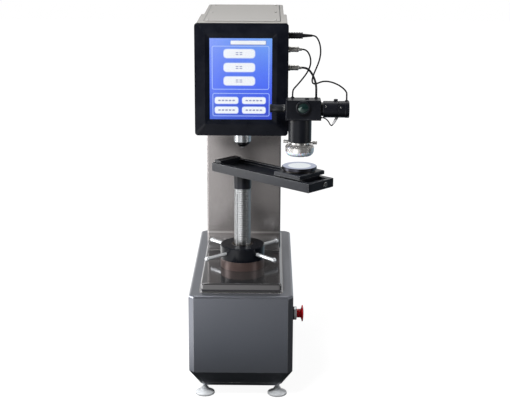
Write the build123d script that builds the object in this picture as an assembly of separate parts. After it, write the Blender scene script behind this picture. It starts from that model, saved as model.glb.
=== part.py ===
from build123d import *
from math import cos, pi, radians, sin, tan
import os

os.makedirs("parts", exist_ok=True)

# Electronic Brinell hardness tester with an elevating screw, a slide that carries the anvil
# from the indenter to a measuring microscope, and a touch screen.
# Millimetres, +Z up. The operator stands on the -Y side. The origin is on the floor, under
# the axis that the indenter and the elevating screw share.

# ------------------------------------------------------------------ clearances
running = 0.05            # radial, shaft that turns or slides in its bore
seat = 0.02               # radial, piece fixed in its bore
part_gap = 0.3            # between faces that move past each other
cut_over = 1.0            # how far a cutting tool runs past the face it cuts
broken_edge = 1.0         # width of the small chamfers on turned pieces

# ------------------------------------------------------------------ base
base_width = 266.0
base_depth = 600.0
base_reach = 186.4        # front face ahead of the load axis
base_floor = 31.5         # underside above the floor
base_height = 252.5
base_wall = 8.0
base_bevel_height = 46.7
base_bevel_inset = 28.0
base_corner = 13.0
base_edge = 7.0
corner_loss = 2 - 2 ** 0.5  # of a cut corner's width, per thickness of its wall
bottom_plate = 10.0

foot_spread = 188.6
foot_setback = 49.4       # foot centre behind the base's front face, and ahead of its back
foot_pad_radius = 25.0
foot_rim = 4.5
foot_cone = 8.5
foot_neck_radius = 8.5
foot_hex_flats = 16.0
foot_hex_height = 5.0
stud_radius = 6.0
stud_length = 44.0

plinth_ledge = 1.3        # beyond each side of the column
plinth_height = 24.4
plinth_setback = 30.0     # behind the base's front face
plinth_tail = 1.4         # behind the column's back face
plinth_corner = 6.0
plinth_edge = 4.0
plinth_flare = 4.0        # how far the cove round its foot spreads
plinth_cove = 3.6
plinth_lip = 0.6

# ------------------------------------------------------------------ column and head
column_width = 203.4
column_depth = 221.0
throat = 163.6            # load axis to the column's front face
column_wall = 12.0
column_edge = 4.0
cove_radius = 34.0
cove_lip = 1.5

head_width = 225.0
head_rear_width = 210.0
head_reach = 91.4         # front wall ahead of the load axis
head_front_depth = 208.0
head_height = 278.0
head_wall = 3.0
head_edge = 3.0
head_floor = 682.5        # underside of the head above the floor
lid_width = 188.0
lid_length = 430.0
lid_thickness = 2.0
lid_setback = 25.4        # behind the head's front wall
lid_overlap = 14.0
lid_corner = 5.0
rear_cover_width = 160.0
rear_cover_height = 200.0
rear_cover_sill = 38.0    # above the head's underside
rear_cover_thickness = 2.0
louvre_width = 50.0
louvre_height = 5.0
louvre_pitch = 16.0
louvre_spread = 70.0      # between the two columns of louvres
louvre_rows = 8

# ------------------------------------------------------------------ screen
screen_width = 154.5
screen_height = 202.3
screen_centre_x = -2.3
screen_centre_z = 822.0
bezel_width = 232.6
bezel_height = 281.0
bezel_centre_x = -0.8
bezel_centre_z = 819.5
bezel_corner = 8.0
bezel_rim = 3.0
bezel_depth = 7.6
bezel_land = 13.0         # screen edge to the ridge of the frame
bezel_lip = 1.3
bezel_ridge = 3.0         # both flats of the ridge together
opening_corner = 1.0
glass_overlap = 5.0
glass_thickness = 1.9
panel_depth = 12.0

# ------------------------------------------------------------------ elevating screw
screw_radius = 22.0
screw_top = 521.0
screw_length = 328.0
screw_chamfer = 1.5
spigot_radius = 14.0
spigot_length = 27.0
keyway_width = 6.0
keyway_depth = 3.5
keyway_angle = 236.0
guide_radius = 34.0
guide_length = 178.0
guide_flange_radius = 50.0
guide_flange = 12.0
bearing_radius = 58.0
bearing_bore = 30.5
bearing_height = 23.2
hub_radius = 58.6
hub_height = 36.8
hub_chamfer = 2.5
nut_radius = 28.0
nut_drop = 22.0           # how far the nut reaches below the hub
spoke_radius = 4.8
spoke_reach = 122.0
spoke_root = 38.0
spoke_ball = 6.5
spoke_count = 4
spoke_angle = 43.0
neck_radius = 23.0
neck_height = 41.0

# ------------------------------------------------------------------ slide and anvil
rail_angle = 43.0         # the slide runs to the right and forwards
rail_tail = 66.0
rail_nose = 269.6
rail_width = 93.6
rail_thickness = 23.0
dovetail_depth = 8.0
dovetail_mouth = 68.0
dovetail_flank = 60.0
nose_wall = 8.0
stop_length = 22.0
stop_width = 74.0
stop_rise = 6.0           # above the rail's top face
measure_reach = 198.0     # load axis to microscope axis, along the slide
carriage_length = 84.0
carriage_plate = 10.0
carriage_lift = 5.0       # plate above the rail's top face
carriage_edge = 1.5
runner_length = 76.0
anvil_seat_radius = 40.0
anvil_seat_height = 5.0
anvil_spigot_radius = 12.0
anvil_spigot_depth = 6.0
anvil_radius = 43.3
anvil_height = 7.8
anvil_chamfer = 1.0

# ------------------------------------------------------------------ load train
ball_radius = 5.0
ball_tip = 627.4
spindle_radius = 12.0
spindle_flange_radius = 20.0
spindle_flange = 5.0
spindle_length = 122.6
nose_radius = 19.5
nose_tip_radius = 6.5
nose_band = 5.0
nose_height = 13.6
nose_grip = 1.0           # how far the nut reaches below the ball's centre
sleeve_radius = 22.0
sleeve_gap = 1.0          # nose nut to sleeve
sleeve_flange_radius = 30.0
sleeve_flange = 6.0
frame_width = 90.0
frame_height = 42.0
frame_nose = 34.0         # ahead of the load axis
upright_thickness = 15.0
upright_depth = 50.0
upright_height = 164.5
bridge_thickness = 12.0
cell_radius = 35.0
cell_height = 25.0
cell_boss_radius = 18.0
cell_boss_height = 30.0
drive_radius = 10.0
drive_engaged = 20.0
drive_collar_radius = 16.0
drive_collar = 8.0
adaptor_radius = 34.0
adaptor_bore = 20.0
adaptor_height = 14.0
gearbox_radius = 30.0
gearbox_height = 26.0
gearbox_socket = 12.0
shaft_end_gap = 4.0
motor_radius = 24.0
motor_height = 52.0

# ------------------------------------------------------------------ microscope
scope_radius = 28.6
scope_bore = 22.6
scope_floor = 674.0
scope_height = 57.5
scope_chamfer = 1.5
objective_radius = 17.0
objective_drop = 33.0     # below the tube
objective_flange = 12.0
objective_window = 9.0
arm_rise = 14.0           # above the tube's foot
arm_height = 32.0
arm_thickness = 17.5
arm_pad_back = 10.0
arm_pad_front = -80.0
arm_seat_front = -122.0
arm_seat_back = -98.0
arm_bezel_gap = 1.0
arm_seat_width = 29.0
box_left = 109.5
box_width = 85.5
box_front = -163.0
box_depth = 46.0
box_height = 49.5
box_edge = 2.0
box_foot = 3.5
box_foot_lip = 0.8
eyepiece_x = 151.0
eyepiece_drop = 17.5      # centre below the box's top
eyepiece_radius = 17.0
eyepiece_bore = 13.0
eyepiece_length = 7.0
eyepiece_sleeve_radius = 14.0
eyepiece_sleeve = 7.0
eyepiece_lens_depth = 3.0
eyepiece_lens_crown = 1.6
eyepiece_lens_inset = 1.0
side_axis_y = -140.0
drum_rise = 26.0          # axis above the box's underside
drum_radius = 9.6
drum_length = 32.0
drum_cap_radius = 10.5
drum_cap = 7.5
drum_shaft_radius = 6.0
drum_shaft = 6.5
camera_rise = 24.5        # axis above the box's underside
camera_radius = 20.5
camera_length = 53.0
camera_step_radius = 17.0
camera_step = 6.0
camera_ring_radius = 21.0
camera_ring = 10.5
camera_groove = 1.0
camera_seam = 43.0        # from the box's side
camera_knob_radius = 5.0
camera_knob_rise = 4.5
camera_knob_reach = 36.5
relief_top_radius = 3.6
relief_foot_radius = 2.7
relief_top = (236.5, 18.0)     # across, and below the camera's axis
relief_foot = (226.7, 35.5)

ring_neck_radius = 22.5
ring_neck_height = 5.5
ring_shoulder_radius = 34.0
ring_shoulder_height = 4.0
ring_radius = 36.0
ring_rim_drop = 7.0
ring_wall_radius = 35.2
ring_height = 23.0
ring_bore = 20.0
diffuser_height = 10.5
diffuser_foot_radius = 28.5
diffuser_waist_radius = 32.9
thumb_drop = 3.3          # below the tube
thumb_stem_radius = 2.0
thumb_head_radius = 4.2
thumb_head = 11.5
thumb_reach = 31.5
thumb_angles = (157.0, 0.0)

# ------------------------------------------------------------------ connectors
socket_y = -60.0
socket_heights = (926.2, 892.0, 846.2)
socket_radius = 8.5
socket_rim = 3.5
socket_body_radius = 6.0
socket_body = 12.0
black_plug_radius = 8.1
black_plug_length = 34.7
black_grip_depth = 0.7
black_grips = 5
black_relief_length = 23.7
black_relief_root = 4.9
black_relief_tip = 2.9
silver_nut_radius = 8.1
silver_nut = 5.0
silver_body_radius = 7.0
silver_body = 20.0
silver_tip_radius = 3.9
silver_tip = 8.0

thin_lead = 4.0
thick_lead = 5.5
camera_lead_diameter = 3.0
# Points of each lead's route, in the order that it is followed from the head or the box.
black_route = [
    (174.4, -60, 926.2), (182, -60, 926.2), (190.5, -60, 915), (195.5, -60, 898), (196, -61, 879.5),
    (192, -62, 861.5), (185, -65, 844.5), (178, -68, 828.5), (174.5, -71.5, 815.5), (178, -75, 807.5),
    (187, -80, 809.5), (200, -88, 816.5), (216, -97, 818), (233, -107, 814), (247.5, -117, 807),
    (258.5, -127.5, 797), (258, -140, 790), (258, -140, 777.1),
]
upper_route = [
    (149, -60, 892), (157.5, -60, 892), (167, -58, 882), (172, -55, 866), (171, -52.5, 849.5),
    (163.5, -53, 833), (152, -60, 818.5), (140, -76, 807), (131.5, -94, 801), (127.5, -108, 798),
    (126, -121, 793), (126, -121, 781),
]
lower_route = [
    (149, -60, 846.2), (159.5, -60, 846.2), (170, -66, 839.5), (178, -79, 828), (183, -94, 815.5),
    (184.5, -109, 804.5), (184, -124, 796), (184, -124, 781),
]
camera_route = [
    (195, -154, 737.5), (201, -154, 737.5), (207, -152.5, 734.5), (212, -150, 730), (215.8, -147, 724),
    (218.8, -143.4, 717.5), (223.8, -140, 714.1), (226.7, -140, 720.5),
]

# ------------------------------------------------------------------ stop button and mains inlet
button_y = -56.0
button_z = 193.5
collar_radius = 17.5
collar_length = 11.5
collar_bore = 12.5
collar_floor = 2.5
barrel_radius = 11.0
barrel_length = 34.0
contact_size = 28.0
contact_length = 22.0
contact_wall = 8.0        # behind the stem's well
stem_radius = 6.0
stem_length = 52.0
stem_tip = 16.0           # outside the base's side
neck_root = 7.5           # button neck outside the base's side
button_neck_radius = 11.6
button_neck = 14.5
button_flare_radius = 19.5
button_flare = 2.9
button_radius = 21.5
button_rim = 3.0
button_crown = 2.2
inlet_x = -75.0
inlet_z = 126.0
inlet_width = 31.0
inlet_height = 52.0
inlet_flange = 3.0
inlet_body_width = 27.0
inlet_body_height = 47.0
inlet_body = 25.0
inlet_recess_width = 22.0
inlet_recess_height = 15.0
inlet_recess_depth = 17.0
inlet_socket_drop = 10.0
inlet_switch_rise = 13.0
pin_width = 2.0
pin_height = 4.0
pin_length = 14.0
pin_pitch = 7.0
rocker_width = 18.0
rocker_height = 11.0
rocker_rise = 3.2
rocker_dip = 2.0
rocker_keel = 5.0
rocker_root = 1.0
rocker_tilt = 6.0
rocker_room = 0.8
rocker_pin_radius = 1.2
rocker_pin_length = 2.0

# ------------------------------------------------------------------ places worked out from the sizes
base_front = -base_reach
base_back = base_front + base_depth
base_mid = (base_front + base_back) / 2
base_side = base_width / 2
base_top = base_floor + base_height
bevel_top = base_floor + base_bevel_height
plate_top = base_floor + bottom_plate
plinth_top = base_top + plinth_height
plinth_width = column_width + 2 * plinth_ledge
column_back = throat + column_depth
plinth_front = base_front + plinth_setback
plinth_back = column_back + plinth_tail
head_front = -head_reach
head_step = head_front + head_front_depth
head_side = head_width / 2
head_top = head_floor + head_height
bezel_front = head_front - bezel_depth
ridge_width = screen_width + 2 * bezel_land
ridge_height = screen_height + 2 * bezel_land
glass_front = head_front - bezel_depth + bezel_rim + bezel_lip
hub_floor = plinth_top + bearing_height + part_gap
hub_top = hub_floor + hub_height
hub_mid = hub_floor + hub_height / 2
rail_floor = screw_top + neck_height
rail_top = rail_floor + rail_thickness
channel_floor = rail_top - dovetail_depth
carriage_floor = rail_top + carriage_lift
carriage_top = carriage_floor + carriage_plate
anvil_floor = carriage_top + anvil_seat_height
anvil_top = anvil_floor + anvil_height
scope_x = measure_reach * cos(radians(rail_angle))
scope_y = -measure_reach * sin(radians(rail_angle))
ball_centre = ball_tip + ball_radius
spindle_foot = ball_centre + ball_radius
spindle_top = spindle_foot + spindle_length
nose_floor = ball_centre - nose_grip
nose_top = nose_floor + nose_height
head_deck = head_floor + head_wall
frame_top = head_deck + frame_height
bridge_top = head_deck + upright_height
cell_top = spindle_top + cell_height
boss_top = cell_top + cell_boss_height
box_floor = scope_floor + scope_height
box_top = box_floor + box_height
box_right = box_left + box_width
eyepiece_z = box_top - eyepiece_drop
arm_floor = scope_floor + arm_rise
drum_axis_z = box_floor + drum_rise
camera_axis_z = box_floor + camera_rise
ring_top = scope_floor - part_gap
plug_root = head_side + socket_rim


# ------------------------------------------------------------------ basic forms
def block(x_span, y_span, z_span):
    """Box between pairs of limits."""
    lows = (x_span[0], y_span[0], z_span[0])
    sizes = (x_span[1] - x_span[0], y_span[1] - y_span[0], z_span[1] - z_span[0])
    return Pos(*lows) * Box(*sizes, align=(Align.MIN, Align.MIN, Align.MIN))


def rod(radius, low, high):
    """Upright cylinder on the load axis."""
    return Pos(0, 0, low) * Cylinder(radius, high - low, align=(Align.CENTER, Align.CENTER, Align.MIN))


def tube(outer, inner, low, high):
    """Upright ring on the load axis."""
    return rod(outer, low, high) - rod(inner, low - cut_over, high + cut_over)


def turned(outline):
    """Solid turned about the load axis from (radius, height) points."""
    return revolve(Plane.XZ * make_face(Polyline(*outline, close=True)), Axis.Z)


def along_x(shape, x, y, z):
    """Lay an upright shape down so that its height runs along +X from a point."""
    return Pos(x, y, z) * Rot(0, 90, 0) * shape


def along_front(shape, x, y, z):
    """Lay an upright shape down so that its height runs towards the operator."""
    return Pos(x, y, z) * Rot(90, 0, 0) * shape


def on_slide(shape):
    """Turn a shape drawn with the slide along +X to the slide's own direction."""
    return Rot(0, 0, -rail_angle) * shape


def at_scope(shape):
    """Move a shape from the load axis to the microscope's axis."""
    return Pos(scope_x, scope_y, 0) * shape


def facing(x, y, z):
    """Drawing plane that faces the operator."""
    return Plane(origin=(x, y, z), x_dir=(1, 0, 0), z_dir=(0, -1, 0))


# ------------------------------------------------------------------ base
def base_outline(inset, height, wall=0):
    """Plan of the base with its corners cut, inset for the bevel and again for the wall."""
    drawn_in = 2 * (inset + wall)
    plan = Rectangle(base_width - drawn_in, base_depth - drawn_in)
    plan = chamfer(plan.vertices(), base_corner - wall * corner_loss)
    return Pos(0, base_mid, height) * plan


def bevel_inset(height):
    """How far the bevel has drawn the sides in at a height."""
    return base_bevel_inset * (bevel_top - height) / base_bevel_height


def base_form(wall, top):
    """Upright box that narrows to the bottom plate."""
    foot = base_outline(bevel_inset(plate_top), plate_top, wall)
    shoulder = base_outline(0, bevel_top, wall)
    return loft([foot, shoulder], ruled=True) + extrude(shoulder, top - bevel_top)


def base_housing():
    shell = base_form(0, base_top)
    shell = fillet(shell.faces().sort_by(Axis.Z)[-1].edges(), base_edge)
    shell -= base_form(base_wall, base_top - base_wall)
    shell -= rod(guide_radius + seat, base_top - 2 * base_wall, base_top + cut_over)
    shell -= along_x(
        rod(barrel_radius + seat, -2 * base_wall, cut_over), base_side, button_y, button_z
    )
    half_width = inlet_body_width / 2 + seat
    half_height = inlet_body_height / 2 + seat
    shell -= block(
        (inlet_x - half_width, inlet_x + half_width),
        (base_back - 2 * base_wall, base_back + cut_over),
        (inlet_z - half_height, inlet_z + half_height),
    )
    return shell


foot_places = {
    "front_left_foot": (-foot_spread / 2, base_front + foot_setback),
    "front_right_foot": (foot_spread / 2, base_front + foot_setback),
    "rear_left_foot": (-foot_spread / 2, base_back - foot_setback),
    "rear_right_foot": (foot_spread / 2, base_back - foot_setback),
}


def base_plate():
    under = base_outline(base_bevel_inset, base_floor)
    plate = loft([under, base_outline(bevel_inset(plate_top), plate_top)], ruled=True)
    for x, y in foot_places.values():
        plate -= Pos(x, y) * rod(stud_radius + running, base_floor - cut_over, plate_top + cut_over)
    return plate


def levelling_foot(x, y):
    """Pad, cone, spanner hexagon and stud of one adjustable foot."""
    cone_top = foot_rim + foot_cone
    pad = turned([
        (0, 0), (foot_pad_radius - broken_edge, 0), (foot_pad_radius, broken_edge),
        (foot_pad_radius, foot_rim), (foot_pad_radius - broken_edge, foot_rim + broken_edge),
        (foot_neck_radius, cone_top), (0, cone_top),
    ])
    hexagon = RegularPolygon(foot_hex_flats / 2, 6, major_radius=False)
    pad += extrude(Pos(0, 0, cone_top) * hexagon, foot_hex_height)
    stud_foot = cone_top + foot_hex_height
    pad += rod(stud_radius, stud_foot - cut_over, stud_foot + stud_length)
    return Pos(x, y) * pad


def plinth_slab(flare, top):
    """Slab on the base's top with rounded corners, spread by the flare."""
    half = plinth_width / 2 + flare
    slab = block((-half, half), (plinth_front - flare, plinth_back + flare), (base_top, top))
    return fillet(slab.edges().filter_by(Axis.Z), plinth_corner + flare)


def plinth_plate():
    """Plate with rounded top edges and a cove round its foot."""
    plate = plinth_slab(0, plinth_top)
    plate = fillet(plate.faces().sort_by(Axis.Z)[-1].edges(), plinth_edge)
    lip_top = base_top + plinth_lip
    plate += plinth_slab(plinth_flare, lip_top)
    front_limit = plinth_front - plinth_lip
    back_limit = plinth_back + plinth_lip
    side_limit = plinth_width / 2 + plinth_lip
    root = plate.edges().filter_by_position(Axis.Z, lip_top, lip_top)
    root = root.filter_by(lambda edge: front_limit < edge.center().Y < back_limit)
    root = root.filter_by(lambda edge: abs(edge.center().X) < side_limit)
    plate = fillet(root, plinth_cove)
    return plate - rod(guide_radius + seat, base_top - cut_over, plinth_top + cut_over)


# ------------------------------------------------------------------ column and head
def column():
    half = column_width / 2
    post = block((-half, half), (throat, column_back), (plinth_top, head_floor))
    post = fillet(post.edges().filter_by(Axis.Z), column_edge)
    post -= block(
        (-half + column_wall, half - column_wall),
        (throat + column_wall, column_back - column_wall),
        (plinth_top - cut_over, head_floor + cut_over),
    )
    toe = throat - cove_radius
    cove_top = plinth_top + cove_lip + cove_radius
    sweep_out = Pos(0, toe, cove_top) * Rot(0, 90, 0) * Cylinder(cove_radius, column_width)
    cove = block(
        (-half + column_edge, half - column_edge), (toe, throat + column_wall / 2), (plinth_top, cove_top)
    )
    return post + (cove - sweep_out)


def head_form(wall, floor, top):
    """The head's wide front and narrower rear, drawn inside the full size."""
    front = block(
        (-head_side + wall, head_side - wall), (head_front + wall, head_step - wall), (floor, top)
    )
    rear_side = head_rear_width / 2
    rear = block(
        (-rear_side + wall, rear_side - wall),
        (head_step - wall - cut_over, column_back - wall),
        (floor, top),
    )
    return front + rear


def head_shell():
    shell = head_form(0, head_floor, head_top)
    rounded = shell.edges().filter_by(Axis.Z) + shell.faces().sort_by(Axis.Z)[-1].edges()
    shell = fillet(rounded, head_edge)
    shell -= head_form(head_wall, head_deck, head_top - head_wall)
    shell -= rod(sleeve_radius + part_gap, head_floor - cut_over, head_deck + cut_over)
    lid_front = head_front + lid_setback
    shell -= block(
        (-lid_width / 2 + lid_overlap, lid_width / 2 - lid_overlap),
        (lid_front + lid_overlap, lid_front + lid_length - lid_overlap),
        (head_top - 2 * head_wall, head_top + cut_over),
    )
    opening = Rectangle(
        screen_width + 2 * (glass_overlap + seat), screen_height + 2 * (glass_overlap + seat)
    )
    window = facing(screen_centre_x, head_front + 2 * head_wall, screen_centre_z) * opening
    shell -= extrude(window, 3 * head_wall)
    for height in socket_heights:
        shell -= along_x(
            rod(socket_body_radius + seat, -2 * head_wall, cut_over), head_side, socket_y, height
        )
    sill = head_floor + rear_cover_sill
    shell -= block(
        (-rear_cover_width / 2 + lid_overlap, rear_cover_width / 2 - lid_overlap),
        (column_back - 2 * head_wall, column_back + cut_over),
        (sill + lid_overlap, sill + rear_cover_height - lid_overlap),
    )
    return shell


def top_cover():
    plan = RectangleRounded(lid_width, lid_length, lid_corner)
    middle = head_front + lid_setback + lid_length / 2
    return extrude(Pos(0, middle, head_top) * plan, lid_thickness)


def rear_cover():
    middle = head_floor + rear_cover_sill + rear_cover_height / 2
    outside = column_back + rear_cover_thickness
    cover = extrude(
        facing(0, outside, middle) * RectangleRounded(rear_cover_width, rear_cover_height, lid_corner),
        rear_cover_thickness,
    )
    slot = SlotOverall(louvre_width, louvre_height)
    slots = Sketch() + [
        facing(side * louvre_spread / 2, outside + cut_over, middle + row * louvre_pitch) * slot
        for side in (-1, 1)
        for row in [index - (louvre_rows - 1) / 2 for index in range(louvre_rows)]
    ]
    return cover - extrude(slots, rear_cover_thickness + 2 * cut_over)


# ------------------------------------------------------------------ screen
def screen_bezel():
    """Picture-frame bezel: a thin rim, a mitred slope up to a ridge and a slope down to the screen."""
    rim_front = head_front - bezel_rim
    outline = RectangleRounded(bezel_width, bezel_height, bezel_corner)
    ridge = RectangleRounded(ridge_width, ridge_height, bezel_corner / 2)
    opening = RectangleRounded(screen_width, screen_height, opening_corner)
    frame = extrude(facing(bezel_centre_x, head_front, bezel_centre_z) * outline, bezel_rim)
    frame += loft([
        facing(bezel_centre_x, rim_front, bezel_centre_z) * outline,
        facing(screen_centre_x, bezel_front, screen_centre_z) * ridge,
    ], ruled=True)
    lip_front = glass_front - bezel_lip
    frame -= loft([
        facing(screen_centre_x, bezel_front, screen_centre_z)
        * RectangleRounded(ridge_width - bezel_ridge, ridge_height - bezel_ridge, bezel_corner / 2),
        facing(screen_centre_x, lip_front, screen_centre_z) * opening,
    ], ruled=True)
    frame -= extrude(facing(screen_centre_x, head_front + cut_over, screen_centre_z) * opening, bezel_depth)
    rebate = Rectangle(
        screen_width + 2 * (glass_overlap + seat), screen_height + 2 * (glass_overlap + seat)
    )
    frame -= extrude(
        facing(screen_centre_x, head_front + cut_over, screen_centre_z) * rebate,
        head_front + cut_over - glass_front,
    )
    return frame


def screen_slab(front, depth):
    """Slab as large as the glass, behind a front plane."""
    plan = Rectangle(screen_width + 2 * glass_overlap, screen_height + 2 * glass_overlap)
    return extrude(facing(screen_centre_x, front + depth, screen_centre_z) * plan, depth)


# ------------------------------------------------------------------ elevating screw and handwheel
def keyway(width, depth, low, high):
    """Square key on the load axis's side that faces the keyway's direction."""
    key = block((screw_radius - depth, screw_radius + cut_over), (-width / 2, width / 2), (low, high))
    return Rot(0, 0, keyway_angle) * key


def elevating_screw():
    foot = screw_top - screw_length
    screw = turned([
        (0, foot), (screw_radius - screw_chamfer, foot), (screw_radius, foot + screw_chamfer),
        (screw_radius, screw_top), (spigot_radius, screw_top),
        (spigot_radius, screw_top + spigot_length), (0, screw_top + spigot_length),
    ])
    return screw - keyway(keyway_width, keyway_depth, foot - cut_over, screw_top)


def screw_guide():
    """Keyed sleeve in the base that lets the screw rise and keeps it from turning."""
    foot = plinth_top - guide_length
    flange_top = base_top - base_wall
    guide = rod(guide_radius, foot, plinth_top)
    guide += rod(guide_flange_radius, flange_top - guide_flange, flange_top)
    guide -= rod(screw_radius + running, foot - cut_over, plinth_top + cut_over)
    key = keyway(keyway_width - 2 * part_gap, keyway_depth - part_gap, foot, plinth_top)
    return guide + key


def handwheel_hub():
    hub = turned([
        (nut_radius + seat, hub_floor), (hub_radius, hub_floor), (hub_radius, hub_top - hub_chamfer),
        (hub_radius - hub_chamfer, hub_top), (nut_radius + seat, hub_top),
    ])
    for turn in range(spoke_count):
        hole = along_x(rod(spoke_radius + seat, spoke_root, hub_radius + cut_over), 0, 0, hub_mid)
        hub -= Rot(0, 0, spoke_angle + turn * 360 / spoke_count) * hole
    return hub


def handwheel_spokes():
    """Chrome bars with a ball turned on each end."""
    bar = rod(spoke_radius, spoke_root, spoke_reach) + Pos(0, 0, spoke_reach) * Sphere(spoke_ball)
    bar = along_x(bar, 0, 0, hub_mid)
    turns = [Rot(0, 0, spoke_angle + turn * 360 / spoke_count) * bar for turn in range(spoke_count)]
    return Compound(turns)


def stage_neck():
    neck = rod(neck_radius, screw_top, rail_floor)
    return neck - rod(spigot_radius + seat, screw_top - cut_over, screw_top + spigot_length)


# ------------------------------------------------------------------ slide and anvil
def dovetail(length_span, clearance, floor, top):
    """Dovetail bar along the slide, narrowed by a clearance on each flank."""
    spread = dovetail_depth / tan(radians(dovetail_flank))
    mouth = dovetail_mouth / 2 - clearance
    foot = mouth + spread * (rail_top - floor) / dovetail_depth
    outline = Polyline((-foot, floor), (foot, floor), (mouth, rail_top), (mouth, top),
                       (-mouth, top), (-mouth, rail_top), close=True)
    section = Plane(origin=(length_span[0], 0, 0), x_dir=(0, 1, 0), z_dir=(1, 0, 0)) * make_face(outline)
    return extrude(section, length_span[1] - length_span[0])


def stage_rail():
    """Flat bar with a dovetail channel that is open at the tail and closed at the nose."""
    half = rail_width / 2
    bar = block((-rail_tail, rail_nose), (-half, half), (rail_floor, rail_top))
    bar -= dovetail((-rail_tail - cut_over, rail_nose - nose_wall), 0, channel_floor, rail_top + cut_over)
    bar = chamfer(bar.faces().sort_by(Axis.Z)[0].edges(), carriage_edge)
    return on_slide(bar)


def rail_end_stop():
    """Block that closes the channel's tail and stops the carriage under the indenter."""
    span = (-rail_tail, -rail_tail + stop_length)
    stop = dovetail(span, part_gap, channel_floor, rail_top + cut_over)
    stop += block(span, (-stop_width / 2, stop_width / 2), (rail_top, rail_top + stop_rise))
    return on_slide(stop)


def carriage():
    """Plate on a dovetail runner, with a bore for the anvil's spigot."""
    half = rail_width / 2
    plate = block(
        (measure_reach - carriage_length / 2, measure_reach + carriage_length / 2),
        (-half, half), (carriage_floor, carriage_top),
    )
    plate = chamfer(plate.faces().sort_by(Axis.Z)[-1].edges(), carriage_edge)
    plate += dovetail(
        (measure_reach - runner_length / 2, measure_reach + runner_length / 2),
        part_gap, channel_floor + part_gap, carriage_floor,
    )
    bore = rod(anvil_spigot_radius + seat, carriage_top - anvil_spigot_depth, carriage_top + cut_over)
    return on_slide(plate - Pos(measure_reach, 0, 0) * bore)


def anvil_seat():
    seat_disc = rod(anvil_seat_radius, carriage_top, anvil_floor)
    seat_disc += rod(anvil_spigot_radius, carriage_top - anvil_spigot_depth, carriage_top + cut_over)
    return at_scope(seat_disc)


def anvil_disc():
    rim = anvil_radius - anvil_chamfer
    return at_scope(turned([
        (0, anvil_floor), (rim, anvil_floor), (anvil_radius, anvil_floor + anvil_chamfer),
        (anvil_radius, anvil_top - anvil_chamfer), (rim, anvil_top), (0, anvil_top),
    ]))


# ------------------------------------------------------------------ load train
def spindle():
    shaft = rod(spindle_radius, spindle_foot, spindle_top)
    return shaft + rod(spindle_flange_radius, spindle_top - spindle_flange, spindle_top)


def indenter_nut():
    """Conical nut that holds the ball against the spindle's end."""
    nut = turned([
        (0, nose_floor), (nose_tip_radius, nose_floor), (nose_radius, nose_top - nose_band),
        (nose_radius, nose_top), (spindle_radius + seat, nose_top),
        (spindle_radius + seat, spindle_foot), (0, spindle_foot),
    ])
    return nut - Pos(0, 0, ball_centre) * Sphere(ball_radius + seat)


def spindle_guide():
    foot = nose_top + sleeve_gap
    sleeve = rod(sleeve_radius, foot, frame_top + sleeve_flange)
    sleeve += rod(sleeve_flange_radius, frame_top, frame_top + sleeve_flange)
    return sleeve - rod(spindle_radius + running, foot - cut_over, frame_top + sleeve_flange + cut_over)


def press_frame():
    """Beam from the column's head to the load axis, with a portal that carries the drive."""
    half = frame_width / 2
    depth = upright_depth / 2
    outside = half + upright_thickness
    frame = block((-half, half), (-frame_nose, column_back - column_wall), (head_deck, frame_top))
    for side in (-1, 1):
        span = sorted((side * half, side * outside))
        frame += block(span, (-depth, depth), (head_deck, bridge_top))
    frame += block((-outside, outside), (-depth, depth), (bridge_top - bridge_thickness, bridge_top))
    frame -= rod(sleeve_radius + seat, head_deck - cut_over, frame_top + cut_over)
    return frame - rod(
        drive_radius + running, bridge_top - bridge_thickness - cut_over, bridge_top + cut_over
    )


def load_cell():
    cell = rod(cell_radius, spindle_top, cell_top) + rod(cell_boss_radius, cell_top, boss_top)
    screw_end = boss_top - drive_engaged
    return cell - rod(drive_radius + running, screw_end - shaft_end_gap, boss_top + cut_over)


def drive_screw():
    collar_floor_z = bridge_top + part_gap
    shaft_top = bridge_top + adaptor_height + gearbox_socket - shaft_end_gap
    screw = rod(drive_radius, boss_top - drive_engaged, shaft_top)
    return screw + rod(drive_collar_radius, collar_floor_z, collar_floor_z + drive_collar)


def drive_motor():
    """Geared motor on its adaptor ring."""
    gearbox_floor = bridge_top + adaptor_height
    motor = tube(adaptor_radius, adaptor_bore, bridge_top, gearbox_floor)
    motor += rod(gearbox_radius, gearbox_floor, gearbox_floor + gearbox_height)
    motor += rod(motor_radius, gearbox_floor + gearbox_height, gearbox_floor + gearbox_height + motor_height)
    return motor - rod(drive_radius + running, gearbox_floor - cut_over, gearbox_floor + gearbox_socket)


# ------------------------------------------------------------------ microscope
def microscope_arm():
    """Bracket from the head's side, round the screen's edge, to the back of the microscope's tube."""
    inner = bezel_centre_x + bezel_width / 2 + arm_bezel_gap
    outer = head_side + arm_thickness
    seat_end = inner + arm_seat_width
    plan = make_face(Polyline(
        (head_side, arm_pad_back), (head_side, arm_pad_front), (inner, arm_pad_front),
        (inner, arm_seat_front), (seat_end, arm_seat_front), (seat_end, arm_seat_back),
        (outer, arm_seat_back), (outer, arm_pad_back), close=True,
    ))
    arm = extrude(Pos(0, 0, arm_floor) * plan, arm_height)
    return arm - at_scope(rod(scope_radius + seat, arm_floor - cut_over, arm_floor + arm_height + cut_over))


def microscope_tube():
    return at_scope(turned([
        (scope_bore, scope_floor), (scope_radius - scope_chamfer, scope_floor),
        (scope_radius, scope_floor + scope_chamfer), (scope_radius, box_floor), (scope_bore, box_floor),
    ]))


def objective():
    shoulder = scope_floor + objective_flange
    foot = scope_floor - objective_drop
    return at_scope(turned([
        (objective_window, foot), (objective_radius, foot), (objective_radius, scope_floor),
        (scope_bore - seat, scope_floor), (scope_bore - seat, shoulder), (objective_window, shoulder),
    ]))


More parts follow.
